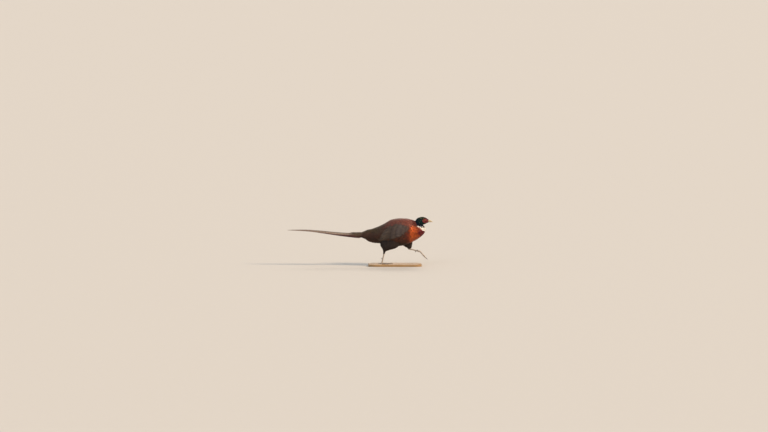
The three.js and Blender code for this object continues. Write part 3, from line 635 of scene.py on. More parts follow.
def coatLooks(points, wander=1.3):
    # colours of the feathers rooted at these points (m), from where they are on the bird
    x, _, z = (points / mm).T
    number = len(x)
    x = x + rng.normal(0, wander, number)
    z = z + rng.normal(0, wander, number)
    size = math.hypot(1, collar["slope"])
    above = (z - collar["z"] - collar["slope"] * (x - collar["x"])) / size
    ahead = (x - neckBack["x"]) * neckBack["alongX"] + (z - neckBack["z"]) * neckBack["alongZ"]
    ahead = ahead / math.hypot(neckBack["alongX"], neckBack["alongZ"])
    share = np.clip((x - collar["x"]) / collar["reach"], 0, 1)
    half = mix(collar["half"], collar["halfFront"], share)
    isHead = (ahead > 0) & (above > half)
    isCollar = (np.abs(above) <= half) & (x > collar["x"] - 3)
    front = smoothstep(62, 104, x) * (z < 240)
    low = smoothstep(150, 124, z - 0.1 * np.abs(x - 30)) * smoothstep(108, 72, x)
    onBack = smoothstep(-70, -30, x) * smoothstep(208, 230, z)
    onBib = ((x - bib["x"]) / bib["reachX"]) ** 2 + ((z - bib["z"]) / bib["reachZ"]) ** 2
    onBib = 1.5 * np.exp(-onBib ** 2)
    ground = np.repeat(hue["back"][None], number, 0)
    for region, reach in coatRegions.items():
        if reach:
            weight = smoothstep(reach[0], reach[1], x) * smoothstep(reach[2], reach[3], z)
        else:
            weight = onBib if region == "bib" else low
        ground = blend(ground, region, weight)
    # green to blue on the head, blue at the nape, purple down the throat
    headHue = np.repeat(hue["head"][None], number, 0)
    headHue = blend(headHue, "headBlue", smoothstep(0.6, 1.0, rng.uniform(0, 1, number)))
    headHue = blend(headHue, "crown", smoothstep(262, 268, z) * smoothstep(132, 145, x))
    headHue = blend(headHue, "nape", smoothstep(134, 124, x))
    headHue = blend(headHue, "throat", smoothstep(half + 14, half + 4, above) * 0.8)
    ground = np.where(isHead[:, None], headHue, ground)
    ground[isCollar] = hue["collar"]
    # rims: dark and shiny in front, maroon on the back, soft and buff on the rump
    rim = np.repeat(hue["rimDark"][None], number, 0)
    rim = blend(rim, "rimPurple", smoothstep(84, 120, x))
    rim = blend(rim, "rimMaroon", 0.6 * onBib)
    rim = blend(rim, "rimMaroon", onBack)
    rim = blend(rim, "rimRump", smoothstep(-50, -100, x) * smoothstep(176, 196, z))
    soft = (smoothstep(60, 0, x) * (1 - 0.6 * onBack))[:, None]
    rim = mix(rim, ground * 0.5, 0.7 * soft)
    dark = isHead | (low > 0.6)
    rim = np.where(dark[:, None], ground * 1.6, rim)
    rim[isCollar] = hue["collar"] * 0.97
    mark = blend(np.repeat(hue["mantleMark"][None], number, 0), "scapularMark", smoothstep(60, 20, x))
    # how wide the rims are (mm), how glossy the feathers, and how strong the pale marks
    rimWide = mix(0.9, 0.55, front)
    rimWide = np.where((x > -30) & (x < 84) & (z < 200) & (low < 0.5), 1.5, rimWide)
    rimWide = mix(rimWide, 1.6, onBack)
    rimWide = np.where(dark, 0.3, rimWide)
    glossy = 0.12 + 0.55 * front * smoothstep(240, 215, z) + 0.15 * onBack
    glossy = np.where(isHead, 0.95, np.where(isCollar, 0.0, glossy))
    tone = rng.normal(1, 0.1, number).clip(0.72, 1.28)[:, None]
    tint = 1 + rng.normal(0, 0.035, (number, 3))
    amount = 0.5 * onBack * ~isHead * ~isCollar * rng.uniform(0.35, 1, number)
    return {
        "ground": np.concatenate([ground * tone * tint, rimWide[:, None]], 1),
        "rim": np.concatenate([rim * tone, glossy[:, None]], 1),
        "mark": np.concatenate([mark * tone, amount[:, None]], 1),
        "lift": rng.normal(0, 0.2, number),
        "roll": rng.normal(0, 0.25, number),
        "curve": rng.normal(0, 0.09, number),
    }


def scatter(surface, spacingOf, allowed, tries):
    # evenly strewn roots on a surface: random places, each keeping its distance from those before it
    points = surface["points"]
    rows, columns = points.shape[:2]
    row, column = np.divmod(np.arange((rows - 1) * columns), columns)
    area = (surface["stepU"] * surface["stepV"])[:-1].ravel()
    chance = area / spacingOf(points[:-1].reshape(-1, 3) / mm, row) ** 2
    picks = rng.choice(len(area), tries, p=chance / chance.sum())
    u = row[picks] + rng.uniform(0, 1, tries)
    v = column[picks] + rng.uniform(0, 1, tries)
    places = sample(points, u, v)
    keep = allowed(places / mm, u)
    u, v, places = u[keep], v[keep], places[keep]
    spacing = spacingOf(places / mm, u) * mm
    finder = KDTree(len(places))
    for i, place in enumerate(places):
        finder.insert(place, i)
    finder.balance()
    taken = np.zeros(len(places), bool)
    chosen = []
    for i, place in enumerate(places):
        if not taken[i]:
            chosen.append(i)
            for _, k, _ in finder.find_range(place, spacing[i]):
                taken[k] = True
    return u[chosen], v[chosen], places[chosen], spacing[chosen]


def aimed(surface, u, v, length, yaw):
    # the places where feathers of these lengths end, lying towards the tail
    local = sample(surface["stepU"], u, v)
    for share in (0.35, 0.5):
        local = (local + sample(surface["stepU"], u - share * length / local, v)) / 2
    tipU = u - length * np.cos(yaw) / local
    around = (sample(surface["stepV"], u, v) + sample(surface["stepV"], tipU, v)) / 2
    return np.stack([tipU, v + length * np.sin(yaw) / around], 1)


def stationOf(u):
    return np.interp(u, np.arange(rowCount), station)


def bodySpacing(points, u):
    # the feathers' spacing by region
    where = stationOf(u)
    x, z = points[:, 0], points[:, 2]
    gap = coat["spacing"]
    spacing = mix(gap["back"], gap["rump"], smoothstep(-20, -90, x))
    spacing = mix(spacing, gap["belly"], smoothstep(150, 125, z) * smoothstep(100, 60, x))
    spacing = mix(spacing, gap["breast"], smoothstep(50, 100, x) * smoothstep(240, 205, z))
    spacing = mix(spacing, gap["neck"], smoothstep(9.0, 11.3, where))
    spacing = mix(spacing, gap["head"], smoothstep(13.2, 15.2, where))
    return mix(spacing, gap["chin"], smoothstep(17.5, 20.5, where))


def faceness(points):
    return np.hypot((points[:, 0] - face["x"]) / face["reachX"], (points[:, 2] - face["z"]) / face["reachZ"])


def bodyAllowed(points, u):
    # where the body's feathers root: off the bare face, and not deep under the folded wing or the tail
    where = stationOf(u)
    x, y, z = points.T
    aside = np.abs(y)
    besideBill = (where > 20.8) & (np.abs(z - 252) < 7)
    offMiddle = aside > mix(4, 6, smoothstep(257, 262, z))
    bare = ((faceness(points) < 1.0) | besideBill) & offMiddle & (where > 16.5)
    deep = insideOutline(wingOutline, x, z)
    hidden = (aside > 15) & (deep > np.where(z > 225, 10, np.where(x < -20, 14, 4)))
    under = z < tailHeight(tailForm["rootX"] - x) - 12
    tailward = x - tailForm["rootX"] + np.where(under, 50, 52 - aside * 1.6)
    return ~bare & ~hidden & (tailward > rng.uniform(-12, 12, len(u)))


coatPieces = {
    # name: [from station, to station, grid of the vanes, slot]
    "tail_covert_feathers": [-4, 0.6, (8, 10), "copper_feather"],
    "rump_feathers": [0.6, 2.6, (7, 12), "copper_feather"],
    "lower_back_feathers": [2.6, 4.6, (7, 12), "copper_feather"],
    "back_and_belly_feathers": [4.6, 6.6, (7, 12), "copper_feather"],
    "mantle_and_flank_feathers": [6.6, 8.3, (7, 12), "copper_feather"],
    "upper_breast_feathers": [8.3, 9.4, (7, 12), "copper_feather"],
    "breast_feathers": [9.4, 10.7, (7, 12), "copper_feather"],
    "bib_feathers": [10.7, 11.8, (6, 8), "neck_feather"],
    "neck_feathers": [11.8, 14.2, (5, 6), "neck_feather"],
    "head_feathers": [14.2, 23, (4, 3), "head_feather"],
}


def layCoat():
    # the whole coat strewn at once, then cut by station into pieces
    u, v, places, spacing = scatter(body, bodySpacing, bodyAllowed, 130000)
    where = stationOf(u)
    deep = insideOutline(wingOutline, *(places[:, [0, 2]] / mm).T)
    depth = coat["skinDepth"]
    for name, (low, high, grid, slot) in coatPieces.items():
        pick = (where >= low) & (where < high)
        size = spacing[pick]
        number = len(size)
        sunk = np.interp((low + high) / 2, [9.5, 12, 15], [depth["trunk"], depth["neck"], depth["head"]])
        fine = sunk < 2  # the head's feathers
        covert = smoothstep(1.2, -1.5, where[pick])
        loose = smoothstep(5.5, 2.5, where[pick])
        length = size * coat["lengthRatio"] * rng.normal(1, 0.07, number).clip(0.8, 1.2) * (1 + 0.9 * covert)
        length = length * (1 + coat["looseLength"] * loose * (1 - covert))
        width = size * coat["widthRatio"] * rng.normal(1, 0.06, number).clip(0.85, 1.2)
        narrow = smoothstep(10.4, 12, where[pick]) * (not fine)
        length = length * (1 + 0.35 * narrow)
        width = width * (1 - 0.2 * loose) * (1 - 0.2 * narrow)
        spec = {
            "grid": grid, "lift": (-sunk - 0.5, 0.3 if fine else 0.65), "camber": 0.06 if fine else 0.05,
            "thick": 0.15 if fine else 0.22, "ragged": 0.08 if fine else 0.075 + 0.06 * (high < 5),
            "risePower": 0.55, "tipWidth": 0.3 if fine or low > 10 else 0.42,
            "widest": 0.45 if low > 10 else 0.6,
        }
        tip = aimed(body, u[pick], v[pick], length, rng.normal(0, 0.1, number))
        looks = coatLooks(places[pick])
        x, y, z = places[pick].T
        edgeOfWing = (deep[pick] > -20) & (x > -30 * mm) & (np.abs(y) > 15 * mm)
        lowEdge = edgeOfWing & (z < 190 * mm)
        allRound, below = coat["wingEdgeLift"]
        looks["lift"] = looks["lift"] * (0.5 if fine else 1) + allRound * edgeOfWing + below * lowEdge
        vanes = layVanes(body, np.stack([u[pick], v[pick]], 1), tip, width, spec, looks)
        addVanes(name, vanes, headPlumage if fine else bodyPlumage)
        print("stage:", name, number, "vanes,", 2 * len(vanes["faces"]), "triangles")


layCoat()

# The thighs in side view: [front x, front z, rear x, rear z, half width, middle y], from the trunk down
thighForm = {
    "right": [
        [30, 152, -66, 164, 20, -30], [27, 128, -80, 142, 22, -29], [14, 107, -81, 118, 22, -28],
        [-8, 97.5, -72, 101, 17.5, -27], [-32, 91, -67.5, 91.5, 12, -26], [-48, 85, -65.5, 84.5, 8, -25],
        [-53.5, 79.5, -65, 78.5, 5.6, -24.5], [-56.6, 69, -66, 68.5, 4.1, -23.4],
    ],
    "left": [
        [86, 168, 12, 152, 20, 33], [97, 140, 32, 124, 20, 31], [97, 120, 53, 108, 16, 29],
        [94.5, 107, 67, 100.5, 11, 27], [92, 100.5, 73, 95, 7.4, 26], [89, 96.5, 77, 91.5, 4.4, 25.4],
    ],
}
thighLook = {
    "spacing": 4.6, "lengthRatio": 3.6, "widthRatio": 1.35, "skinDepth": 3.0, "around": 64, "rowsPerRib": 9}


def thighSurface(label):
    # rows run from the heel up, so that the feathers lie down the leg
    ribs = thighForm[label][::-1]
    step = thighLook["rowsPerRib"]
    rows = splineRows(ribs, np.arange((len(ribs) - 1) * step + 1) / step)
    angle = np.arange(thighLook["around"]) / thighLook["around"] * 2 * np.pi
    frontX, frontZ, rearX, rearZ, half, middleY = (rows[:, k][:, None] for k in range(6))
    x = (frontX + rearX) / 2 + (frontX - rearX) / 2 * np.cos(angle)
    z = (frontZ + rearZ) / 2 + (frontZ - rearZ) / 2 * np.cos(angle)
    return surfaceOf(np.stack([x, middleY + half * np.sin(angle), z], -1) * mm)


print("stage: thighs")
thighs = {label: thighSurface(label) for label in thighForm}
trunkTree = treeOf(["torso"])


def layThigh(label):
    surface = thighs[label]

    def allowed(points, u):
        keep = []
        for point in points:
            spot, normal, _, gap = trunkTree.find_nearest(Vector(point * mm))
            keep.append((Vector(point * mm) - spot).dot(normal) > -4 * mm or gap < 4 * mm)
        return np.array(keep) & (u > 5)

    def spacingOf(points, u):
        return mix(2.4, thighLook["spacing"], smoothstep(6, 30, u))

    u, v, places, spacing = scatter(surface, spacingOf, allowed, 14000)
    number = len(u)
    length = spacing * thighLook["lengthRatio"] * rng.normal(1, 0.08, number).clip(0.8, 1.2)
    length = np.minimum(length, mix(7, 20, smoothstep(4, 26, u)) * mm)
    tip = aimed(surface, u, v, length, rng.normal(0, 0.08, number))
    looks = coatLooks(places)
    upper = (smoothstep(30, 46, u) if label == "left" else np.zeros(number))[:, None]
    dark = hue["thigh"][None] * rng.normal(1, 0.12, (number, 1))
    # the upper left thigh takes half the flank's colour, with its painted shade
    looks["ground"][:, :3] = mix(dark, hue["flankShaded"][None] * 0.5, upper)
    looks["rim"][:, :3] = looks["ground"][:, :3] * 1.7
    looks["ground"][:, 3] = 0.4
    looks["rim"][:, 3] = 0.1
    spec = {
        "grid": (6, 6), "lift": (-2.8, 0.6), "camber": 0.06, "thick": 0.2, "ragged": 0.16, "tipWidth": 0.3}
    vanes = layVanes(surface, np.stack([u, v], 1), tip, spacing * thighLook["widthRatio"], spec, looks)
    addVanes(f"thigh_{label}_feathers", vanes, bodyPlumage)


layThigh("right")
layThigh("left")

skinLook = {
    "wattle": "#7e0f15", "wattleHollowShade": "#38070b", "papilla": 1.15, "papillaHeight": 0.42, "lid": "#45161a",
    "fold": 2.5,
    "cells": 1500,  # to the metre, so that one is 0.67 mm wide
}


def skinMaterial(name, roughness):
    # Skin: thin and dull under the coat; on the bare face moist red wattle that light enters a little,
    # with crowded papillae whose hollows are painted darker as shade, as are the grooves between the skin's
    # cells
    material, tree, shader = newMaterial(name, {
        "IOR": 1.4, "Subsurface Weight": 0.06, "Subsurface Scale": 0.002, "Coat Weight": 0.1,
        "Coat Roughness": 0.35})
    place = addNode(tree, "TexCoord", output="Object")
    cells = addNode(tree, "TexVoronoi", {"Vector": place, "Scale": skinLook["cells"]})
    folds = addNode(tree, "TexNoise", {
        "Vector": place, "Scale": 1 / (skinLook["fold"] * mm), "Detail": 3.0, "Roughness": 0.6})
    # painted shade: darker towards the edges of the cells, where the relief sinks into grooves
    cellGrooveShade = addNode(tree, "MapRange", [cells, 0.0, 0.8, 1.15, 0.75])
    onFold = addNode(tree, "MapRange", [folds, 0.3, 0.7, 0.85, 1.12])
    tone = addNode(tree, "Math", [cellGrooveShade, onFold], operation="MULTIPLY")
    ground = addNode(tree, "Attribute", attribute_name="ground")
    colour = addNode(tree, "Mix", {0: 1.0, 6: ground, 7: tone}, 2, blend_type="MULTIPLY")
    height = addNode(tree, "Math", [folds, cells], operation="SUBTRACT")
    rough = addNode(tree, "MapRange", [folds, 0.3, 0.7, roughness - 0.08, roughness + 0.1])
    finishMaterial(tree, shader, colour, height, 0.25, rough)
    return material


skinFinish = skinMaterial("skin_dull", 0.6)
wattleFinish = skinMaterial("wattle_moist", 0.42)
eye = {
    "centre": (166, 13.1, 257), "radius": 5.0, "forward": 0.12, "pupil": 1.75, "iris": 3.75,
    "amber": "#a8480c", "ray": "#e39a34", "irisRim": "#5e2408", "pupilBlack": "#040303",
    "aroundIris": "#0d0706",
}


def recess(points, side):
    # the face sinks round the eye, so that the eyeball fills its socket as far as the lids
    x, y, z = (points / mm).T
    gap = np.hypot(x - eye["centre"][0], z - eye["centre"][2])
    deepest = mix(14.6, 16.4, smoothstep(3.5, 6.0, gap))
    share = smoothstep(9.0, 5.5, gap) * (y * side > 6)
    target = np.minimum(y * side, deepest)
    return np.stack([x, mix(y * side, target, share) * side, z], 1) * mm


def buildSkin():
    # one skin for trunk, neck, head and thighs, inside the coat by its depth
    depth = coat["skinDepth"]
    inset = np.interp(station, [9.5, 12, 15], [depth["trunk"], depth["neck"], depth["head"]])
    bare = smoothstep(1.15, 0.95, faceness(flatForm)) * (np.abs(flatForm[:, 1]) > 3)
    bare = bare * (np.repeat(station, aroundCount) > 16)
    inset = mix(np.repeat(inset, aroundCount), depth["face"], bare).reshape(rowCount, aroundCount)
    start = int(np.searchsorted(station, 0))
    points = (form - bodyUnder["normals"] * inset[:, :, None] * mm)[start:].reshape(-1, 3)
    points = np.where(points[:, 1:2] > 0, recess(points, 1), recess(points, -1))
    rows = rowCount - start
    bake = np.stack([np.repeat(np.arange(rows) / rows, aroundCount) * 0.8 + 0.01,
                     np.tile(np.arange(aroundCount) / aroundCount, rows) * 0.97 + 0.01], 1)
    # painted shade: the skin under the coat takes half its plumage's colour, so that it shows dark between
    # the feathers; on the bare face it is the wattle's red
    tint = coatLooks(points, 0)["ground"][:, :3] * 0.5
    tint = mix(tint, np.array(linear(skinLook["wattle"])), bare.reshape(rowCount, -1)[start:].reshape(-1, 1))
    mesh = newMesh("skin", points, loftFaces(rows, aroundCount), colours={"ground": opaque(tint)},
                   maps={"OFBake": bake})
    piece = addPiece("skin", mesh, skinFinish)
    for k, label in enumerate(thighs):
        surface = thighs[label]
        own = surface["points"] - surface["normals"] * thighLook["skinDepth"] * mm
        count, around = own.shape[:2]
        place = np.meshgrid(np.arange(count) / count, np.arange(around) / around, indexing="ij")
        place = np.stack(place, -1).reshape(-1, 2) * (0.15, 0.4) + (0.83, 0.03 + 0.5 * k)
        shade = opaque(np.repeat(hue["thigh"][None] * 0.6, count * around, 0))
        limb = bpy.data.objects.new("limb", newMesh("limb", own.reshape(-1, 3), loftFaces(count, around),
                                                    colours={"ground": shade}, maps={"OFBake": place}))
        bpy.context.scene.collection.objects.link(limb)
        joined = piece.modifiers.new("join", "BOOLEAN")
        joined.operation = "UNION"
        joined.solver = "EXACT"
        joined.object = limb
        shown = piece.evaluated_get(bpy.context.evaluated_depsgraph_get())
        made = bpy.data.meshes.new_from_object(shown)
        piece.modifiers.clear()
        piece.data = made
        bpy.data.objects.remove(limb)
    piece.data.polygons.foreach_set("use_smooth", np.ones(len(piece.data.polygons), bool))
    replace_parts(piece, "torso", "neck", "head", "thigh_left", "thigh_right")


print("stage: skin")
buildSkin()
formTree = BVHTree.FromPolygons(form.reshape(-1, 3).tolist(), loftFaces(rowCount, aroundCount))


def facePlaces(x, z, side):
    # the places (m) that show at x and z on the face's side, and the way out from them
    places, ways = [], []
    for px, pz in zip(x, z):
        hit = formTree.ray_cast(Vector((px * mm, side * 0.06, pz * mm)), Vector((0, -side, 0)))
        if hit[0] is None:
            hit = formTree.find_nearest(Vector((px * mm, side * 0.012, pz * mm)))
        places.append(hit[0])
        ways.append(hit[1] if hit[1].y * side > 0 else -hit[1])
    return np.array(places), np.array(ways)


def buildWattle(label, side):
    # the bare red face, finer than the skin that it lies on, crowded with papillae
    rings, around = 64, 288
    rho = np.linspace(0.02, 1, rings)
    angle = np.arange(around) / around * 2 * np.pi
    # a slightly uneven outline
    reach = 1 + 0.05 * np.cos(2 * angle - 0.6) + 0.035 * np.cos(3 * angle + 0.5) + 0.02 * np.cos(7 * angle)
    x = (face["x"] + 0.98 * face["reachX"] * reach * np.cos(angle) * rho[:, None]).ravel()
    z = (face["z"] + 0.98 * face["reachZ"] * reach * np.sin(angle) * rho[:, None]).ravel()
    # every third ring and fourth place is cast onto the head, and the rest lie between them
    coarse = np.arange(0, rings * around).reshape(rings, around)[::3, ::4]
    places, ways = facePlaces(x[coarse].ravel(), z[coarse].ravel(), side)
    rows, columns = coarse.shape
    u, v = np.meshgrid(np.arange(rings) / 3, np.arange(around) / 4, indexing="ij")
    flat = sample(places.reshape(rows, columns, 3), u, v).reshape(-1, 3)
    way = unit(sample(ways.reshape(rows, columns, 3), u, v)).reshape(-1, 3)
    flat = recess(flat, side)
    # papillae strewn at about their own width apart, flatter close to the eye
    gap = skinLook["papilla"]
    dots = []
    for _ in range(4000):
        px, pz = rng.uniform(-1.1, 1.1, 2) * (face["reachX"], face["reachZ"])
        if all((px - a) ** 2 + (pz - b) ** 2 > (0.8 * gap) ** 2 for a, b in dots):
            dots.append((px, pz))
    dots = np.array(dots) + (face["x"], face["z"])
    near = np.min(np.hypot(x[:, None] - dots[None, :, 0], z[:, None] - dots[None, :, 1]), axis=1)
    edge = smoothstep(1.0, 0.74, np.repeat(rho, around))
    toEye = np.hypot(x - eye["centre"][0], z - eye["centre"][2])
    quiet = smoothstep(5.0, 7.0, toEye)
    height = skinLook["papillaHeight"] * np.sqrt(np.clip(1 - (near / (0.72 * gap)) ** 2, 0, 1)) * quiet
    rise = (mix(-1.2, 0.12, edge) + height * smoothstep(0.0, 0.4, edge))[:, None] * mm
    # painted shade: the red is darker in the hollows between papillae and on the sunken skin next to the eye
    unshaded = np.clip(height / skinLook["papillaHeight"], 0, 1)[:, None] * 0.75 + 0.25 * quiet[:, None]
    tint = mix(np.array(linear(skinLook["wattleHollowShade"])), np.array(linear(skinLook["wattle"])), unshaded)
    bake = np.stack([0.5 + (x - face["x"]) / 40, 0.5 + (z - face["z"]) / 40], 1)
    faces = loftFaces(rings, around, caps=False) + [list(range(around))]
    mesh = newMesh(f"wattle_{label}", flat + way * rise, faces, maps={"OFBake": bake},
                   colours={"ground": opaque(tint)})
    addPiece(f"wattle_{label}", mesh, wattleFinish)


def eyeMaterial():
    # Glass eye: an amber iris of fine rays round a black pupil, under a clear wet-looking polish
    material, tree, shader = newMaterial("eye_glass_polished", {
        "IOR": 1.38, "Specular IOR Level": 0.2, "Coat Weight": 1.0, "Coat Roughness": 0.03,
        "Coat IOR": 1.38})
    across = addNode(tree, "Attribute", output="Fac", attribute_name="across")
    turn = addNode(tree, "Attribute", output="Fac", attribute_name="turn")
    # far finer round the eye than outwards, so that the pattern runs out in rays
    aroundEye = addNode(tree, "Math", [turn, 14.0], operation="MULTIPLY")
    outwards = addNode(tree, "Math", [across, 0.8], operation="MULTIPLY")
    rays = addNode(tree, "TexNoise", {
        "Vector": addNode(tree, "CombineXYZ", [aroundEye, outwards]), "Scale": 4.0, "Detail": 3.0,
        "Roughness": 0.6})
    colour = linear(eye["amber"]) + [1]
    layers = (  # [what it follows, from, to, colour laid over what is there]
        (rays, 0.3, 0.7, "ray"), (across, 2.7, eye["iris"], "irisRim"),
        (across, eye["pupil"] + 0.1, eye["pupil"] - 0.1, "pupilBlack"),
        (across, eye["iris"], eye["iris"] + 0.25, "aroundIris"),
    )
    for follows, low, high, key in layers:
        share = addNode(tree, "MapRange", [follows, low, high])
        colour = addNode(tree, "Mix", {0: share, 6: colour, 7: linear(eye[key]) + [1]}, 2)
    rough = addNode(tree, "MapRange", [rays, 0.2, 0.8, 0.16, 0.24])
    finishMaterial(tree, shader, colour, rays, 0.02, rough, 0.3)
    return material


glass = eyeMaterial()


def eyeFrame(side):
    # the eye's centre (mm), the way it looks, and two ways across it: forward and up
    centre = np.array(eye["centre"]) * (1, side, 1)
    out = unit(np.array([eye["forward"], side, 0.03]))
    up = unit(np.cross(np.cross(out, (0, 0, 1)), out))
    return centre, out, unit(np.cross(up, out)), up


def buildEye(label, side):
    # a ball with a slight bulge in front, open behind where the head hides it
    centre, out, forward, up = eyeFrame(side)
    rings, around = 56, 72
    polar = np.radians(np.linspace(1, 150, rings))[:, None]
    turn = (np.arange(around) / around * 2 * np.pi)[None]
    radius = eye["radius"] + 0.35 * np.exp(-(np.degrees(polar) / 26) ** 2)
    reach = radius * np.sin(polar)
    points = (centre + (radius * np.cos(polar) + 0 * turn)[..., None] * out
              + (reach * np.cos(turn))[..., None] * forward + (reach * np.sin(turn))[..., None] * up)
    across = np.where(np.degrees(polar) < 90, reach, 9) + 0 * turn
    mesh = newMesh(f"eye_{label}_glass", points.reshape(-1, 3) * mm, loftFaces(rings, around),
                   floats={"across": across.ravel(), "turn": (turn + 0 * polar).ravel()})
    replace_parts(addPiece(f"eye_{label}_glass", mesh, glass), f"eye_{label}")


lid = {
    # from its inner edge out: [distance from the eye's middle, height over the eyeball's middle]
    "profile": [[3.6, 2.6], [3.85, 3.35], [4.05, 3.85], [4.4, 4.1], [4.85, 4.05], [5.3, 3.75],
                [5.8, 3.5], [6.3, 3.4], [6.9, 3.0], [7.6, 2.0]],
    "lower": 0.1, "longer": 0.09,  # the opening's almond shape, as shares of its width
    "overhang": 0.35, "wrinkle": 0.09, "bead": 0.12,
}


def buildLids(label, side):
    # a fleshy rim round the eye: from just inside it, over a rounded edge, out into the face
    centre, out, forward, up = eyeFrame(side)
    rings, around = 28, 120
    turn = (np.arange(around) / around * 2 * np.pi)[None]
    rows = splineRows(lid["profile"], np.linspace(0, len(lid["profile"]) - 1, rings))
    away, height = rows[:, 0][:, None], rows[:, 1][:, None]
    inner = smoothstep(7.6, 4.0, away)
    almond = 1 - lid["lower"] * inner * np.abs(np.sin(turn)) ** 2
    almond = almond + lid["longer"] * inner * np.abs(np.cos(turn)) ** 3
    upper = lid["overhang"] * inner * smoothstep(0.2, 1, np.sin(turn))
    wrinkle = lid["wrinkle"] * np.sin(turn * 34 + away * 3)
    wrinkle = wrinkle * smoothstep(4.1, 5.2, away) * smoothstep(7.4, 6.0, away)
    bead = lid["bead"] * np.sin(turn * 52) * np.exp(-((away - 4.5) / 0.35) ** 2)
    reach = away * almond
    look = height + upper + wrinkle + bead
    points = (centre + look[..., None] * out + (reach * np.cos(turn))[..., None] * forward
              + (reach * np.sin(turn) - upper * 0.8)[..., None] * up)
    tint = mix(np.array(linear(skinLook["lid"])), np.array(linear(skinLook["wattle"])),
               smoothstep(4.3, 5.8, away + 0 * turn)[..., None]).reshape(-1, 3)
    mesh = newMesh(f"eyelids_{label}", points.reshape(-1, 3) * mm, loftFaces(rings, around, caps=False),
                   colours={"ground": opaque(tint)})
    addPiece(f"eyelids_{label}", mesh, wattleFinish)


print("stage: face and eyes")
for label, side in (("left", 1), ("right", -1)):
    buildWattle(label, side)
    buildEye(label, side)
    buildLids(label, side)


# The small dark feathers in two lines across the red face: [course in side view, count, length, width]
faceLines = {
    "underEye": ([(181, 249), (175, 247.5), (167, 247), (158, 249)], 40, 1.7, 0.62),
    "chinLine": ([(181.5, 252.3), (177, 252), (172, 251.5)], 18, 1.4, 0.55),
    "colour": "#0b0b0d",
    "rim": "#16181a",
}


def layFaceTufts():
    roots, tips, widths = [], [], []
    for side in (1, -1):
        for course, count, length, width in (faceLines["underEye"], faceLines["chinLine"]):
            at = np.linspace(0, len(course) - 1, count)
            x, z = splineRows(course, at).T
            z = z + rng.normal(0, 0.35, count)
            roots.append(onForm(x, z, side))
            tips.append(onForm(x - length, z - 0.3, side))
            widths.append(np.full(count, width * mm))
    root, tip = np.concatenate(roots), np.concatenate(tips)
    looks = coatLooks(np.repeat([[0.16, 0, 0.262]], len(root), 0), 0)
    looks["ground"][:, :3] = linear(faceLines["colour"])
    looks["rim"][:, :3] = linear(faceLines["rim"])
    spec = {"grid": (4, 3), "lift": (0.2, 0.75), "thick": 0.16, "tipWidth": 0.2, "widest": 0.4}
    vanes = layVanes(body, root, tip, np.concatenate(widths), spec, looks)
    addVanes("face_tufts", vanes, headPlumage)


# The ear tufts: the first vane's root and tip on the left side, and how far each next one moves on
earTuft = {
    "root": (142, 7.5, 269), "rootStep": (-1.6, 0.95, -0.95),
    "tip": (126.5, 11.6, 266.6), "tipStep": (1.8, 1.1, -1.7),
    "vanes": 7, "half": 1.35, "arch": 0.9, "thick": 0.3,
}


def layEarTufts():
    # narrow feathers that stand back from the crown
    s, t, quads = vaneTemplate(14, 4)
    points = []
    for side in (1, -1):
        for k in range(earTuft["vanes"]):
            start = (earTuft["root"] + np.array(earTuft["rootStep"]) * k) * (1, side, 1)
            end = (earTuft["tip"] + np.array(earTuft["tipStep"]) * k) * (1, side, 1)
            start += rng.normal(0, 0.3, 3)
            end += rng.normal(0, 0.5, 3)
            along = unit(end - start)
            wide = unit(np.cross(along, (0, side * -0.5, 1)))
            lifted = np.cross(wide, along)
            lifted *= np.sign(lifted[2])
            half = earTuft["half"] * np.minimum(1, 0.5 + 2 * s) * np.sqrt(1 - 0.93 * s ** 2.2)
            arch = lifted * (earTuft["arch"] * np.sin(np.pi * s * 0.8))[:, None]
            middle = start + (end - start) * s[:, None] + arch
            top = middle + wide * (half * t)[:, None] - lifted * (0.5 * t ** 2)[:, None]
            points.append(np.concatenate([top, top - lifted * (earTuft["thick"] * (1 - 0.6 * s))[:, None]]))
    count = len(points)
    per = 2 * len(s)
    faces = (quads[None] + (np.arange(count) * per)[:, None, None]).reshape(-1, 4)
    looks = coatLooks(np.repeat([[0.15, 0, 0.262]], count, 0), 0)
    s2, t2 = np.tile(s, 2), np.tile(t, 2)
    upper = np.arange(per) < len(s)
    vanes = {
        "points": np.concatenate(points) * mm, "faces": faces,
        "maps": {"OFBake": cellPlaces(count, s2, t2, upper),
                 "vane": np.tile(np.stack([s2, 0.5 + t2 / 2], 1), (count, 1))},
        "floats": {"edge": np.tile((1 - np.abs(t2)) * 1.5, count), "core": np.full(count * per, 3.0),
                   "barb": np.tile((s2 * 22 + np.abs(t2) * 2) * mm, count)},
        "colours": {key: np.repeat(looks[key], per, 0) for key in ("ground", "rim", "mark")},
    }
    addVanes("ear_tufts", vanes, headPlumage)


layFaceTufts()
layEarTufts()

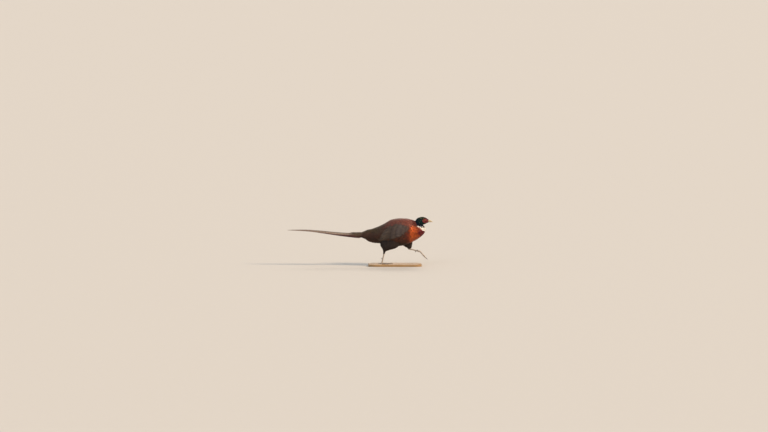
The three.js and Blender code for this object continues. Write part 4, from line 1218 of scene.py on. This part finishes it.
# The folded wing: tiers of vanes in side view, each [lowest, middle, highest] as [x, z] places
wingTiers = {
    "primaries": {
        "count": 7, "roots": ((44, 170), (34, 176), (24, 184)), "tips": ((-62, 133), (-84, 139), (-98, 149)),
        "width": 15, "lift": (-5.0, -0.6), "ground": "#382b24", "rim": "#75634b", "mark": "#75634a",
        "grid": (18, 8), "marks": 0.55, "barred": True, "rimWide": 0.5, "widest": 0.4,
    },
    "secondaries": {
        "count": 13, "roots": ((22, 168), (16, 206), (34, 244)), "tips": ((-92, 148), (-66, 190), (-28, 238)),
        "width": 17, "lift": (-4.0, 1.0), "ground": "#3c302a", "rim": "#7c6a52", "mark": "#625140",
        "grid": (18, 8), "marks": 0.5, "barred": True, "rimWide": 1.0, "widest": 0.4,
    },
    "greater_coverts": {
        "count": 14, "roots": ((48, 172), (42, 206), (52, 245)), "tips": ((-24, 147), (-22, 196), (2, 246)),
        "width": 14, "lift": (-3.0, 1.5), "ground": "#463b35", "rim": "#3b1f18", "mark": "#635447",
        "grid": (12, 8), "marks": 0.35, "barred": False, "rimWide": 0.9, "widest": 0.5,
    },
    "median_coverts": {
        "count": 13, "roots": ((64, 182), (60, 208), (68, 242)), "tips": ((10, 158), (6, 202), (32, 247)),
        "width": 13, "lift": (-2.2, 1.6), "ground": "#4c4340", "rim": "#421f17", "mark": "#6a6058",
        "grid": (9, 8), "marks": 0.3, "barred": False, "rimWide": 0.8, "widest": 0.55,
    },
    "lower_lesser_coverts": {
        "count": 12, "roots": ((76, 190), (73, 212), (80, 238)), "tips": ((38, 167), (34, 208), (56, 245)),
        "width": 12, "lift": (-1.8, 1.5), "ground": "#4a3f3b", "rim": "#421f18", "mark": "#655850",
        "grid": (8, 8), "marks": 0.3, "barred": False, "rimWide": 0.8, "widest": 0.55,
    },
    "upper_lesser_coverts": {
        "count": 10, "roots": ((88, 200), (86, 216), (90, 234)), "tips": ((58, 180), (56, 212), (72, 240)),
        "width": 11, "lift": (-3.2, 0.9), "ground": "#4c3a35", "rim": "#451f17", "mark": "#65524a",
        "grid": (8, 8), "marks": 0.3, "barred": False, "rimWide": 0.8, "widest": 0.55,
    },
}


def arc(three, share):
    # a curve through the first, middle and last of three places
    first, middle, last = (np.array(p, float) for p in three)
    f = share[:, None]
    control = 2 * middle - (first + last) / 2
    return first * (1 - f) ** 2 + control * 2 * f * (1 - f) + last * f ** 2


def buildWing(label, side):
    # each tier lies over the one before it, and rises less where the wing goes under the back
    for k, (tierName, tier) in enumerate(wingTiers.items()):
        number = tier["count"]
        share = np.linspace(0, 1, number)
        roots, tips = arc(tier["roots"], share), arc(tier["tips"], share)
        tips[:, 0] += rng.normal(0, 1.2, number)
        tone = rng.normal(1, 0.08, number)[:, None]
        hues = {key: np.array(linear(tier[key])) * tone for key in ("ground", "rim", "mark")}
        extra = {"ground": tier["rimWide"], "rim": 0.15, "mark": tier["marks"]}
        looks = {key: np.concatenate([hues[key], np.full((number, 1), extra[key])], 1) for key in hues}
        looks["lift"] = 0.9 * np.sin(share * 2.6) - 1.6 * smoothstep(0.72, 1.0, share)
        looks["roll"] = np.full(number, -0.9 * side)
        looks["curve"] = np.full(number, 0.25 * side)
        spec = {"grid": tier["grid"], "lift": tier["lift"], "camber": 0.03, "thick": 0.45, "ridge": 0.3,
                "quill": 0.6, "widest": tier["widest"], "tipWidth": 0.34, "setBack": 0.1, "ragged": 0.02,
                "risePower": 0.6, "cells": True}
        vanes = layVanes(body, onForm(roots[:, 0], roots[:, 1], side), onForm(tips[:, 0], tips[:, 1], side),
                         np.full(number, tier["width"] * mm), spec, looks)
        finish = flightPlumage if tier["barred"] else coverPlumage
        piece = addVanes(f"wing_{label}_{tierName}", vanes, finish)
        if k == 0:
            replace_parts(piece, f"wing_{label}")


print("stage: wings")
buildWing("left", 1)
buildWing("right", -1)


def tailMaterial():
    # Tail feather: stiff barred keratin, satin, with narrow dark bars that slant out from a pale raised
    # shaft and break before a loose red-brown fringe
    material, tree, shader = newMaterial("tail_feather_barred", {
        "IOR": 1.54, "Sheen Weight": 0.15, "Sheen Roughness": 0.45, "Specular IOR Level": 0.35})
    streak, clump, across = barbHeights(tree)
    aside = addNode(tree, "Math", [across, 0.5], operation="SUBTRACT")
    aside = addNode(tree, "Math", [aside], operation="ABSOLUTE")
    # bars that slant out, and wander a little
    behind = addNode(tree, "Attribute", output="Fac", attribute_name="behind")
    wander = addNode(tree, "TexNoise", {
        "Vector": addNode(tree, "TexCoord", output="Object"), "Scale": 1 / (tailForm["wanderWidth"] * mm),
        "Detail": 2.0, "Roughness": 0.6})
    slant = addNode(tree, "Math", [aside, tailForm["barSlant"] * mm, behind], operation="MULTIPLY_ADD")
    slant = addNode(tree, "Math", [wander, tailForm["barWander"] * mm, slant], operation="MULTIPLY_ADD")
    turn = addNode(tree, "Math", [slant, 2 * math.pi / tailForm["barSpacing"] / mm], operation="MULTIPLY")
    bar = addNode(tree, "MapRange", [addNode(tree, "Math", [turn], operation="SINE"), 0.7, 0.88])
    # the fringe, a browner root and the pale shaft
    fringeAt = addNode(tree, "Math", [clump, 0.08, aside], operation="MULTIPLY_ADD")
    barEnd = addNode(tree, "MapRange", [fringeAt, 0.3, 0.4, 1.0, 0.12])
    layers = (  # [share, colour laid over what is there]
        (addNode(tree, "MapRange", [behind, 0.03, 0.16, 0.7, 0.0]), "nearRoot"),
        (addNode(tree, "MapRange", [fringeAt, 0.29, 0.44]), "edge"),
        (addNode(tree, "Math", [bar, barEnd], operation="MULTIPLY"), "bar"),
    )
    colour = linear(tailForm["ground"]) + [1]
    for share, key in layers:
        colour = addNode(tree, "Mix", {0: share, 6: colour, 7: linear(tailForm[key]) + [1]}, 2)
    tone = addNode(tree, "MapRange", [clump, 0.25, 0.75, 0.74, 1.22])
    colour = addNode(tree, "Mix", {0: 1.0, 6: colour, 7: tone}, 2, blend_type="MULTIPLY")
    shaft = addNode(tree, "MapRange", [aside, 0.01, 0.028, 0.75, 0.0])
    colour = addNode(tree, "Mix", {0: shaft, 6: colour, 7: linear(tailForm["shaft"]) + [1]}, 2)
    height = addNode(tree, "Math", [streak, clump], operation="ADD")
    rough = addNode(tree, "MapRange", [clump, 0.25, 0.75, 0.46, 0.62])
    finishMaterial(tree, shader, colour, height, plumage["barbDepth"], rough, 0.5)
    return material


def buildTail():
    # pairs of graduated feathers laid as a steep roof, the middle pair on top
    setup = tailForm
    alongCount, acrossCount = 110, 10
    s, t, quads = vaneTemplate(alongCount, acrossCount)
    row = np.repeat(np.arange(alongCount + 1), acrossCount + 1)
    parts = {"points": [], "vane": [], "behind": [], "barb": []}
    last = setup["pairs"] - 1
    number = 2 * setup["pairs"]
    for side in (1, -1):
        for pair in range(setup["pairs"]):
            shorter = (1 - pair / last) ** setup["graduation"]
            length = setup["shortest"] + (setup["longest"] - setup["shortest"]) * shorter
            roll = math.radians(setup["roll"][0] + setup["roll"][1] * pair)
            spread = math.tan(math.radians(setup["spread"][0] + setup["spread"][1] * pair))
            drop = setup["stack"] * pair + (1.2 if side < 0 else 0)
            innerY = 0.8 + 0.4 * pair if pair else -2.5
            width = setup["width"] - setup["narrowing"] * pair
            behind = 6 + (length - 6) * s * (1 - 0.015 * t ** 2)
            slope = (tailHeight(behind + 1) - tailHeight(behind - 1)) / 2
            course = unit(np.stack([-np.ones_like(slope), np.full_like(slope, side * spread), slope], 1))
            level = unit(np.array([0, side, 0.0]) - course * (course[:, 1] * side)[:, None])
            up = np.cross(level, course)
            up *= np.sign(up[:, 2])[:, None]
            across = level * math.cos(roll) - up * math.sin(roll)
            lifted = up * math.cos(roll) + level * math.sin(roll)
            taper = mix(0.4, 1, smoothstep(0, 0.25, s)) * (1 - 0.96 * s ** 2.6)
            middle = np.stack([setup["rootX"] - behind, side * (innerY + spread * behind),
                               tailHeight(behind) - drop], 1)
            middle += across * (width * mix(1, taper, 0.9) / 2)[:, None]
            loose = rng.uniform(-1, 1, (alongCount + 1, 2))
            edge = np.where(t < 0, loose[row, 0], loose[row, 1]) * (np.abs(t) > 0.99)
            half = width * taper / 2 * t + edge * setup["fringe"] * (1 - s ** 4)
            crown = (-setup["camber"] * width * t ** 2 * taper
                     + setup["shaftHeight"] * np.exp(-(t / 0.09) ** 2) * (1 - s))
            crown = crown + 0.12 * edge
            top = middle + across * half[:, None] + lifted * crown[:, None]
            under = top - lifted * (setup["thick"] * (1 - 0.5 * s))[:, None]
            parts["points"].append(np.concatenate([top, under]))
            parts["vane"].append(np.tile(np.stack([s, 0.5 + t / 2], 1), (2, 1)))
            parts["behind"].append(np.tile((behind + 4 * (pair % 3)) * mm, 2))
            parts["barb"].append(np.tile((behind + np.abs(half) * 1.1) * mm, 2))
    joined = {key: np.concatenate(value) for key, value in parts.items()}
    per = 2 * len(s)
    upper = np.arange(per) < len(s)
    strip = np.stack([0.02 + 0.96 * np.tile(s, 2),
                      0.5 + np.tile(t, 2) * 0.2 + np.where(upper, 0.24, -0.24)], 1)
    bake = np.concatenate([(strip + (0, k)) / (1, number) for k in range(number)])
    faces = (quads[None] + (np.arange(number) * per)[:, None, None]).reshape(-1, 4)
    mesh = newMesh("tail_feathers", joined["points"] * mm, faces,
                   floats={"behind": joined["behind"], "barb": joined["barb"]},
                   maps={"OFBake": bake, "vane": joined["vane"]})
    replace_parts(addPiece("tail_feathers", mesh, tailMaterial()), "tail")


print("stage: tail")
buildTail()


def mottledMaterial(name, first, second, scale, roughness, depth, settings, detail=None, contrast=0.12):
    # two tones in soft patches of a real size, each rough in its own way
    material, tree, shader = newMaterial(name, settings)
    place = addNode(tree, "TexCoord", output="Object")
    patches, fine = (addNode(tree, "TexNoise", {
        "Vector": place, "Scale": 1 / (width * mm), "Detail": level, "Roughness": 0.6})
        for width, level in ((scale, 4.0), (scale / 6, 3.0)))
    share = addNode(tree, "MapRange", [patches, 0.3, 0.7])
    colour = addNode(tree, "Mix", {0: share, 6: linear(first) + [1], 7: linear(second) + [1]}, 2)
    tone = addNode(tree, "MapRange", [fine, 0.25, 0.75, 1 - contrast, 1 + contrast])
    colour = addNode(tree, "Mix", {0: 1.0, 6: colour, 7: tone}, 2, blend_type="MULTIPLY")
    if detail:
        share = addNode(tree, "Attribute", output="Fac", attribute_name=detail[0])
        colour = addNode(tree, "Mix", {0: share, 6: colour, 7: linear(detail[1]) + [1]}, 2)
    height = addNode(tree, "Math", [patches, fine], operation="ADD")
    rough = addNode(tree, "MapRange", [fine, 0.2, 0.8, roughness - 0.08, roughness + 0.08])
    finishMaterial(tree, shader, colour, height, depth, rough)
    return material


billForm = {
    "baseX": 186.0, "rootDepth": 6.0, "tipX": 213.5, "gape": 250.2, "topBase": 259.6, "topTip": 247.3,
    "lowBase": 243.8, "lowTip": 246.6, "width": 12.4, "nostril": (192.6, 254.6), "horn": "#d3c3a0",
    "hornShade": "#b8a482", "cere": "#a58d7c",
    # [label, where it ends as a share of the upper bill, rings, points round each]
    "halves": (("bill_upper", 1.0, 120, 112), ("bill_lower", 0.86, 80, 80)),
}


def buildBill():
    # horn: the keratin sheath, polished by use, faintly streaked along, greyer and flaky at its root
    horn = mottledMaterial("bill_horn_polished", billForm["horn"], billForm["hornShade"], 2.4, 0.34, 0.04, {
        "IOR": 1.54, "Subsurface Weight": 0.06, "Subsurface Scale": 0.001, "Coat Weight": 0.15,
        "Coat Roughness": 0.2}, ("worn", billForm["cere"]))
    setup = billForm
    reach = setup["tipX"] - setup["baseX"]
    for label, end, rings, around in setup["halves"]:
        t = (np.linspace(0, 1, rings) ** 0.8)[:, None] * end
        angle = (np.arange(around) / around * 2 * np.pi)[None]
        x = setup["baseX"] + reach * t + 0 * angle
        x[0] -= setup["rootDepth"]
        gape = setup["gape"] - 3.6 * t ** 4
        if label == "bill_upper":
            high = mix(setup["topBase"], setup["topTip"], t ** 1.9)
            low = gape - 0.35
            half = setup["width"] / 2 * np.sqrt(1 - 0.975 * t ** 2.2)
            rise = np.sin(angle)
            y = half * np.sign(np.cos(angle)) * np.abs(np.cos(angle)) ** 0.85
            z = np.where(rise > 0, low + (high - low) * np.abs(rise) ** 0.9, low - 0.05 * rise)
            offX, offZ = x - setup["nostril"][0], z - setup["nostril"][1]
            flap = 0.75 * np.exp(-(offX / 3.3) ** 2) * np.exp(-((offZ - 0.5) / 1.5) ** 2)
            slit = 1.1 * np.exp(-((offX - 0.9) / 1.9) ** 4) * np.exp(-((offZ + 1.1) / 0.42) ** 2)
            y = y + np.sign(y) * (flap - slit) * (np.abs(y) > 1.5)
            y = y + np.sign(y) * 0.18 * np.exp(-((z - low) / 0.5) ** 2) * (1 - t) * (rise > -0.2)
            worn = smoothstep(0.2, 0.02, t) * 0.8 + 0.9 * np.exp(-((slit - 1.1) / 0.5) ** 2)
        else:
            high = gape - 0.1
            low = mix(setup["lowBase"], setup["lowTip"], (t / end) ** 1.6)
            half = (setup["width"] / 2 - 0.75) * np.sqrt(1 - 0.95 * (t / end) ** 2.2)
            drop = np.sin(angle)
            y = half * np.cos(angle)
            z = np.where(drop > 0, high - (high - low) * np.abs(drop) ** 0.9, high - 0.05 * drop)
            worn = smoothstep(0.22, 0.02, t) * 0.8 + 0 * x
        points = np.stack([x, y, z], -1).reshape(-1, 3)
        mesh = newMesh(f"{label}_horn", points * mm, loftFaces(rings, around),
                       floats={"worn": np.clip(worn + 0 * x, 0, 1).ravel()})
        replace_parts(addPiece(f"{label}_horn", mesh, horn), label)


print("stage: bill")
buildBill()

legForm = {
    "right": {"heel": (-59.5, -24, 77), "ankle": (-72, -20, 19.5), "ahead": (1, 0, 0), "flat": True},
    "left": {"heel": (80, 25, 94.5), "ankle": (141, 20, 79), "ahead": (0.78, 0, -0.63), "flat": False},
    "sole": 12.3,
    "toes": {  # [turn from the middle toe in degrees, length, claw, root radius]
        "middle": (0, 50, 13, 3.9), "inner": (34, 36, 11, 3.5), "outer": (-32, 40, 11, 3.5),
        "hind": (168, 13, 9, 2.7),
    },
    "shank": {  # [share of the way from heel to ankle, radius]
        "at": (-0.09, -0.03, 0.05, 0.24, 0.5, 0.72, 0.94, 1.03),
        "radius": (2.5, 5.3, 4.9, 3.6, 3.5, 3.6, 4.5, 4.5),
    },
    "scute": 3.1, "scuteDepth": 0.36, "toeScute": 2.0, "toeScuteDepth": 0.26,
    "spur": (0.62, 12, 2.6),  # [share of the way down the shank, length, root radius]
    "horn": "#cabfb1", "hornShade": "#ab9f91", "seam": "#6d6055", "claw": "#4a3f36", "clawShade": "#2e2620",
}


def limbRings(path, radii, rings, around, front, flatten=1.0, relief=None):
    # a tapered limb along a path; the relief raises its skin by place along it and angle from its front
    at = np.linspace(0, len(path) - 1, rings)
    middle = splineRows(path, at)
    radius = np.maximum(splineRows(np.array(radii)[:, None], at)[:, 0], 0.2)
    course = unit(np.gradient(middle, axis=0))
    ahead = unit(np.array(front, float) - course * (course @ np.array(front, float))[:, None])
    side = np.cross(course, ahead)
    angle = np.arange(around) / around * 2 * np.pi
    angle = np.where(angle > np.pi, angle - 2 * np.pi, angle)
    along = np.concatenate([[0], np.cumsum(np.linalg.norm(np.diff(middle, axis=0), axis=1))])
    raised, seam = relief(along[:, None], angle[None]) if relief else (np.zeros((rings, around)),) * 2
    out = (radius[:, None] + raised)[..., None]
    points = (middle[:, None] + out * (np.cos(angle)[None, :, None] * ahead[:, None]
                                       + flatten * np.sin(angle)[None, :, None] * side[:, None]))
    return points.reshape(-1, 3), loftFaces(rings, around), seam.ravel()


def scuteRelief(period, depth, pads):
    # overlapping plates down the front in two columns, small scales behind, or pads under a toe
    def relief(along, angle):
        wide = np.abs(angle) < 1.25
        phase = along / period + np.where(angle > 0, 0.5, 0.0) * (pads == 0) + 0.25 * np.abs(angle)
        saw = phase % 1
        plate = depth * (saw ** 1.3 - 0.5) * smoothstep(1.0, 0.93, saw)
        seam = smoothstep(0.88, 0.97, saw) + smoothstep(0.08, 0.0, saw)
        if not pads:
            middle = np.exp(-(angle / 0.07) ** 2)
            plate = plate - 0.5 * depth * middle
            seam = np.maximum(seam, middle)
        smallPeriod = period * 0.42
        row = np.floor(along / smallPeriod)
        cell = np.cos(np.clip(((angle * 3.2 + 0.5 * (row % 2)) % 1 - 0.5) * 2, -1, 1) * 1.5)
        cell = cell * np.sin(np.pi * ((along / smallPeriod) % 1))
        domed = np.sqrt(np.clip(cell, 0, 1))
        small = depth * 0.6 * domed
        if pads:
            small = small + 0.5 * np.maximum(0, np.sin(along / 11 * np.pi * 2)) * (np.abs(angle) > 2)
        share = smoothstep(1.15, 1.35, np.abs(angle)) + 0 * along
        return mix(plate, small, share), np.clip(mix(seam * wide, 0.8 * (1 - domed), share), 0, 1)
    return relief


def joinParts(parts):
    # separate closed bodies as one mesh's points, faces and seams
    points, faces, seams = [], [], []
    for own, polys, seam in parts:
        first = sum(len(p) for p in points)
        faces += [[i + first for i in poly] for poly in polys]
        points.append(own)
        seams.append(seam)
    return np.concatenate(points), faces, np.concatenate(seams)


def buildLeg(label, inward):
    # shank, spur, ankle and toes with their claws; the planted foot is flat under its toes
    setup = legForm[label]
    heel, ankle = np.array(setup["heel"], float), np.array(setup["ankle"], float)
    ahead = unit(np.array(setup["ahead"], float))
    down = unit(ankle - heel)
    front = unit(np.cross(np.cross(down, ahead if setup["flat"] else (0.3, 0, 1)), down))
    places = np.array(legForm["shank"]["at"])[:, None]
    scutes = scuteRelief(legForm["scute"], legForm["scuteDepth"], 0)
    points, faces, seam = limbRings(
        heel + (ankle - heel) * places, legForm["shank"]["radius"], 260, 72, front, 0.86, scutes)
    mesh = newMesh(f"shank_{label}_scaled", points * mm, faces, floats={"seam": seam})
    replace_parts(addPiece(f"shank_{label}_scaled", mesh, legFinish), f"shank_{label}")
    at, length, radius = legForm["spur"]
    back = unit(np.array([0, 1.0, 0]) * inward * 0.45 - front)
    root = heel + (ankle - heel) * at
    tip = root + back * length - down * 1.5
    spurPath = [root + back * 1.5, root + back * length * 0.45 + down * 0.5, root + back * length * 0.8, tip]
    spur = limbRings(spurPath, [radius, radius * 0.78, radius * 0.42, 0.3], 26, 20, down)
    side = unit(np.array([0, inward, 0]) - ahead * ahead[1] * inward)
    up = unit(np.cross(ahead, side) * inward)
    parts = [limbRings([ankle - down * 5, ankle - down * 1, ankle + down * 2.4, ankle + down * 3.6],
                       [4.4, 4.8, 4.2, 2.2], 24, 48, front)]
    claws = [spur]
    for name, (yaw, reach, claw, thick) in legForm["toes"].items():
        turn = math.radians(yaw)
        course = ahead * math.cos(turn) + side * math.sin(turn)

        def place(t):
            run = reach * t
            if setup["flat"]:
                height = legForm["sole"] + thick * 0.8 + 1.2 * math.sin(math.pi * min(t * 1.2, 1)) - ankle[2]
            else:
                height = -0.16 * run * t - 1
            return ankle + course * run + up * height

        if name == "hind":
            rings, steps, bulge = 40, (0.5, 1), (1, 0.9, 0.72)
        else:
            rings, steps, bulge = 110, (0.24, 0.38, 0.6, 0.74, 0.97), (1.05, 0.84, 0.96, 0.78, 0.88, 0.6)
        path = [ankle + down * 1] + [place(t) for t in steps]
        parts.append(limbRings(path, np.array(bulge) * thick, rings, 40, up, 0.95,
                               scuteRelief(legForm["toeScute"], legForm["toeScuteDepth"], 1)))
        nail = [place(0.92) + course * claw * along + up * fall
                for along, fall in ((0, 0.2), (0.35, 0.9), (0.75, 0.2), (1.18, -1.9))]
        claws.append(limbRings(nail, [thick * 0.5, thick * 0.5, thick * 0.33, 0.3], 30, 22, up, 0.8))
    points, faces, seam = joinParts(parts)
    if setup["flat"]:
        points[:, 2] = np.maximum(points[:, 2], legForm["sole"])
    mesh = newMesh(f"foot_{label}_scaled", points * mm, faces, floats={"seam": seam})
    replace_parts(addPiece(f"foot_{label}_scaled", mesh, legFinish), f"foot_{label}")
    points, faces, _ = joinParts(claws)
    addPiece(f"claws_{label}", newMesh(f"claws_{label}", points * mm, faces), clawFinish)


# leg scales: dry horny plates, pale and dull, dark in their seams
legFinish = mottledMaterial("leg_scale_matt", legForm["horn"], legForm["hornShade"], 3.0, 0.52, 0.05,
                            {"IOR": 1.5}, ("seam", legForm["seam"]))
# claws and spurs: harder, darker horn with a low polish
clawFinish = mottledMaterial("claw_horn_polished", legForm["claw"], legForm["clawShade"], 2.0, 0.36, 0.04,
                             {"IOR": 1.54})
print("stage: legs")
buildLeg("right", 1)
buildLeg("left", -1)

wood = {
    "light": "#b99667", "dark": "#8a683f", "poreDark": "#4d361f",
    "ring": 3.2, "fibre": 1.2, "pore": 0.5, "bend": 45.0, "bendBy": 28,
    "stretch": (0.07, 1.0, 1.0),  # the grain runs along the base
}


def woodMaterial():
    # Oak, planed and oiled: rings cut lengthways, short open pores, a soft satin from the oil
    material, tree, shader = newMaterial("oak_oiled", {
        "IOR": 1.5, "Coat Weight": 0.08, "Coat Roughness": 0.4})
    place = addNode(tree, "TexCoord", output="Object")
    stretched = addNode(tree, "Mapping", {"Vector": place, "Scale": wood["stretch"]})
    bend, fine, pores = (addNode(tree, "TexNoise", {
        "Vector": stretched, "Scale": 1 / (wood[key] * mm), "Detail": level, "Roughness": 0.6})
        for key, level in (("bend", 3.0), ("fibre", 4.0), ("pore", 2.0)))
    y = addNode(tree, "SeparateXYZ", [stretched], 1)
    z = addNode(tree, "SeparateXYZ", [stretched], 2)
    across = addNode(tree, "Math", [z, 0.6, y], operation="MULTIPLY_ADD")
    across = addNode(tree, "Math", [bend, wood["bendBy"] * mm, across], operation="MULTIPLY_ADD")
    turn = addNode(tree, "Math", [across, 2 * math.pi / wood["ring"] / mm], operation="MULTIPLY")
    rings = addNode(tree, "Math", [turn], operation="SINE")
    inRing = addNode(tree, "MapRange", [rings, -0.6, 1.0, 0.0, 0.6])
    inFibre = addNode(tree, "MapRange", [fine, 0.3, 0.7, 0.0, 0.4])
    poreHere = addNode(tree, "MapRange", [pores, 0.62, 0.72, 0.0, 0.55])
    share = addNode(tree, "Math", [inRing, inFibre], operation="ADD")
    colour = linear(wood["light"]) + [1]
    for amount, key in ((share, "dark"), (poreHere, "poreDark")):
        colour = addNode(tree, "Mix", {0: amount, 6: colour, 7: linear(wood[key]) + [1]}, 2)
    height = addNode(tree, "Math", [rings, 0.2], operation="MULTIPLY")
    height = addNode(tree, "Math", [height, poreHere], operation="SUBTRACT")
    rough = addNode(tree, "MapRange", [fine, 0.3, 0.7, 0.42, 0.55])
    finishMaterial(tree, shader, colour, height, 0.15, rough)
    return material


print("stage: base")
base = bpy.data.objects["stand_base"]
base.data.materials.clear()
base.data.materials.append(woodMaterial())

# The studio: a wide pale floor, a broad warm key from the bird's front, a cool fill, and a pale surround
studio = {
    "floorHalf": 120,  # metres
    "floor": "#cfccc6", "floorShade": "#cecbc5", "surround": "#dfe4ea", "surroundPower": 0.6,
    "suns": {  # [towards the light, breadth in degrees, power, colour]
        "key": ((1.0, -0.5, 0.75), 14, 2.9, "#ffe0bc"),
        "fill": ((-0.6, -0.9, 0.5), 40, 0.55, "#e8eeff"),
        "back": ((0.1, 0.9, 0.7), 25, 0.9, "#fff1de"),
    },
}


def buildStudio():
    # floor, lamps and surround belong to the picture only, not to the model
    half = studio["floorHalf"]
    corners = [(-half, -half, 0), (half, -half, 0), (half, half, 0), (-half, half, 0)]
    mesh = newMesh("studio_floor", corners, [[0, 1, 2, 3]])
    # paper roll: matt and even, so that nothing but the bird draws the eye
    mesh.materials.append(mottledMaterial("studio_floor_paper", studio["floor"], studio["floorShade"], 40.0,
                                          0.85, 0.1, {}, contrast=0.012))
    floor = bpy.data.objects.new("studio_floor", mesh)
    bpy.context.scene.collection.objects.link(floor)
    for label, (toLight, breadth, power, colour) in studio["suns"].items():
        data = bpy.data.lights.new(label, "SUN")
        data.angle = math.radians(breadth)
        data.energy = power
        data.color = linear(colour)
        lamp = bpy.data.objects.new(label, data)
        lamp.rotation_euler = Vector(toLight).to_track_quat("Z", "Y").to_euler()
        bpy.context.scene.collection.objects.link(lamp)
    world = bpy.data.worlds.new("studio")
    bpy.context.scene.world = world
    world.use_nodes = True
    backdrop = world.node_tree.nodes["Background"]
    backdrop.inputs["Color"].default_value = linear(studio["surround"]) + [1]
    backdrop.inputs["Strength"].default_value = studio["surroundPower"]
    bpy.context.scene.view_settings.view_transform = "Standard"


print("stage: studio")
buildStudio()

# The camera: far off, as through a long lens, a little above the bird; in metres, degrees and, for the
# sensor, millimetres
view = {"aim": (-0.061, 0.0, 0.280), "distance": 30.0, "elevation": 4.0, "frameWidth": 4.30, "sensor": 36.0}


def buildCamera():
    data = bpy.data.cameras.new("camera")
    data.sensor_width = view["sensor"]
    data.lens = view["sensor"] * view["distance"] / view["frameWidth"]
    data.clip_end = 400
    camera = bpy.data.objects.new("camera", data)
    aim = Vector(view["aim"])
    rise = math.radians(view["elevation"])
    camera.location = aim + Vector((0, -math.cos(rise), math.sin(rise))) * view["distance"]
    camera.rotation_euler = (aim - camera.location).to_track_quat("-Z", "Y").to_euler()
    bpy.context.scene.collection.objects.link(camera)
    bpy.context.scene.camera = camera


buildCamera()
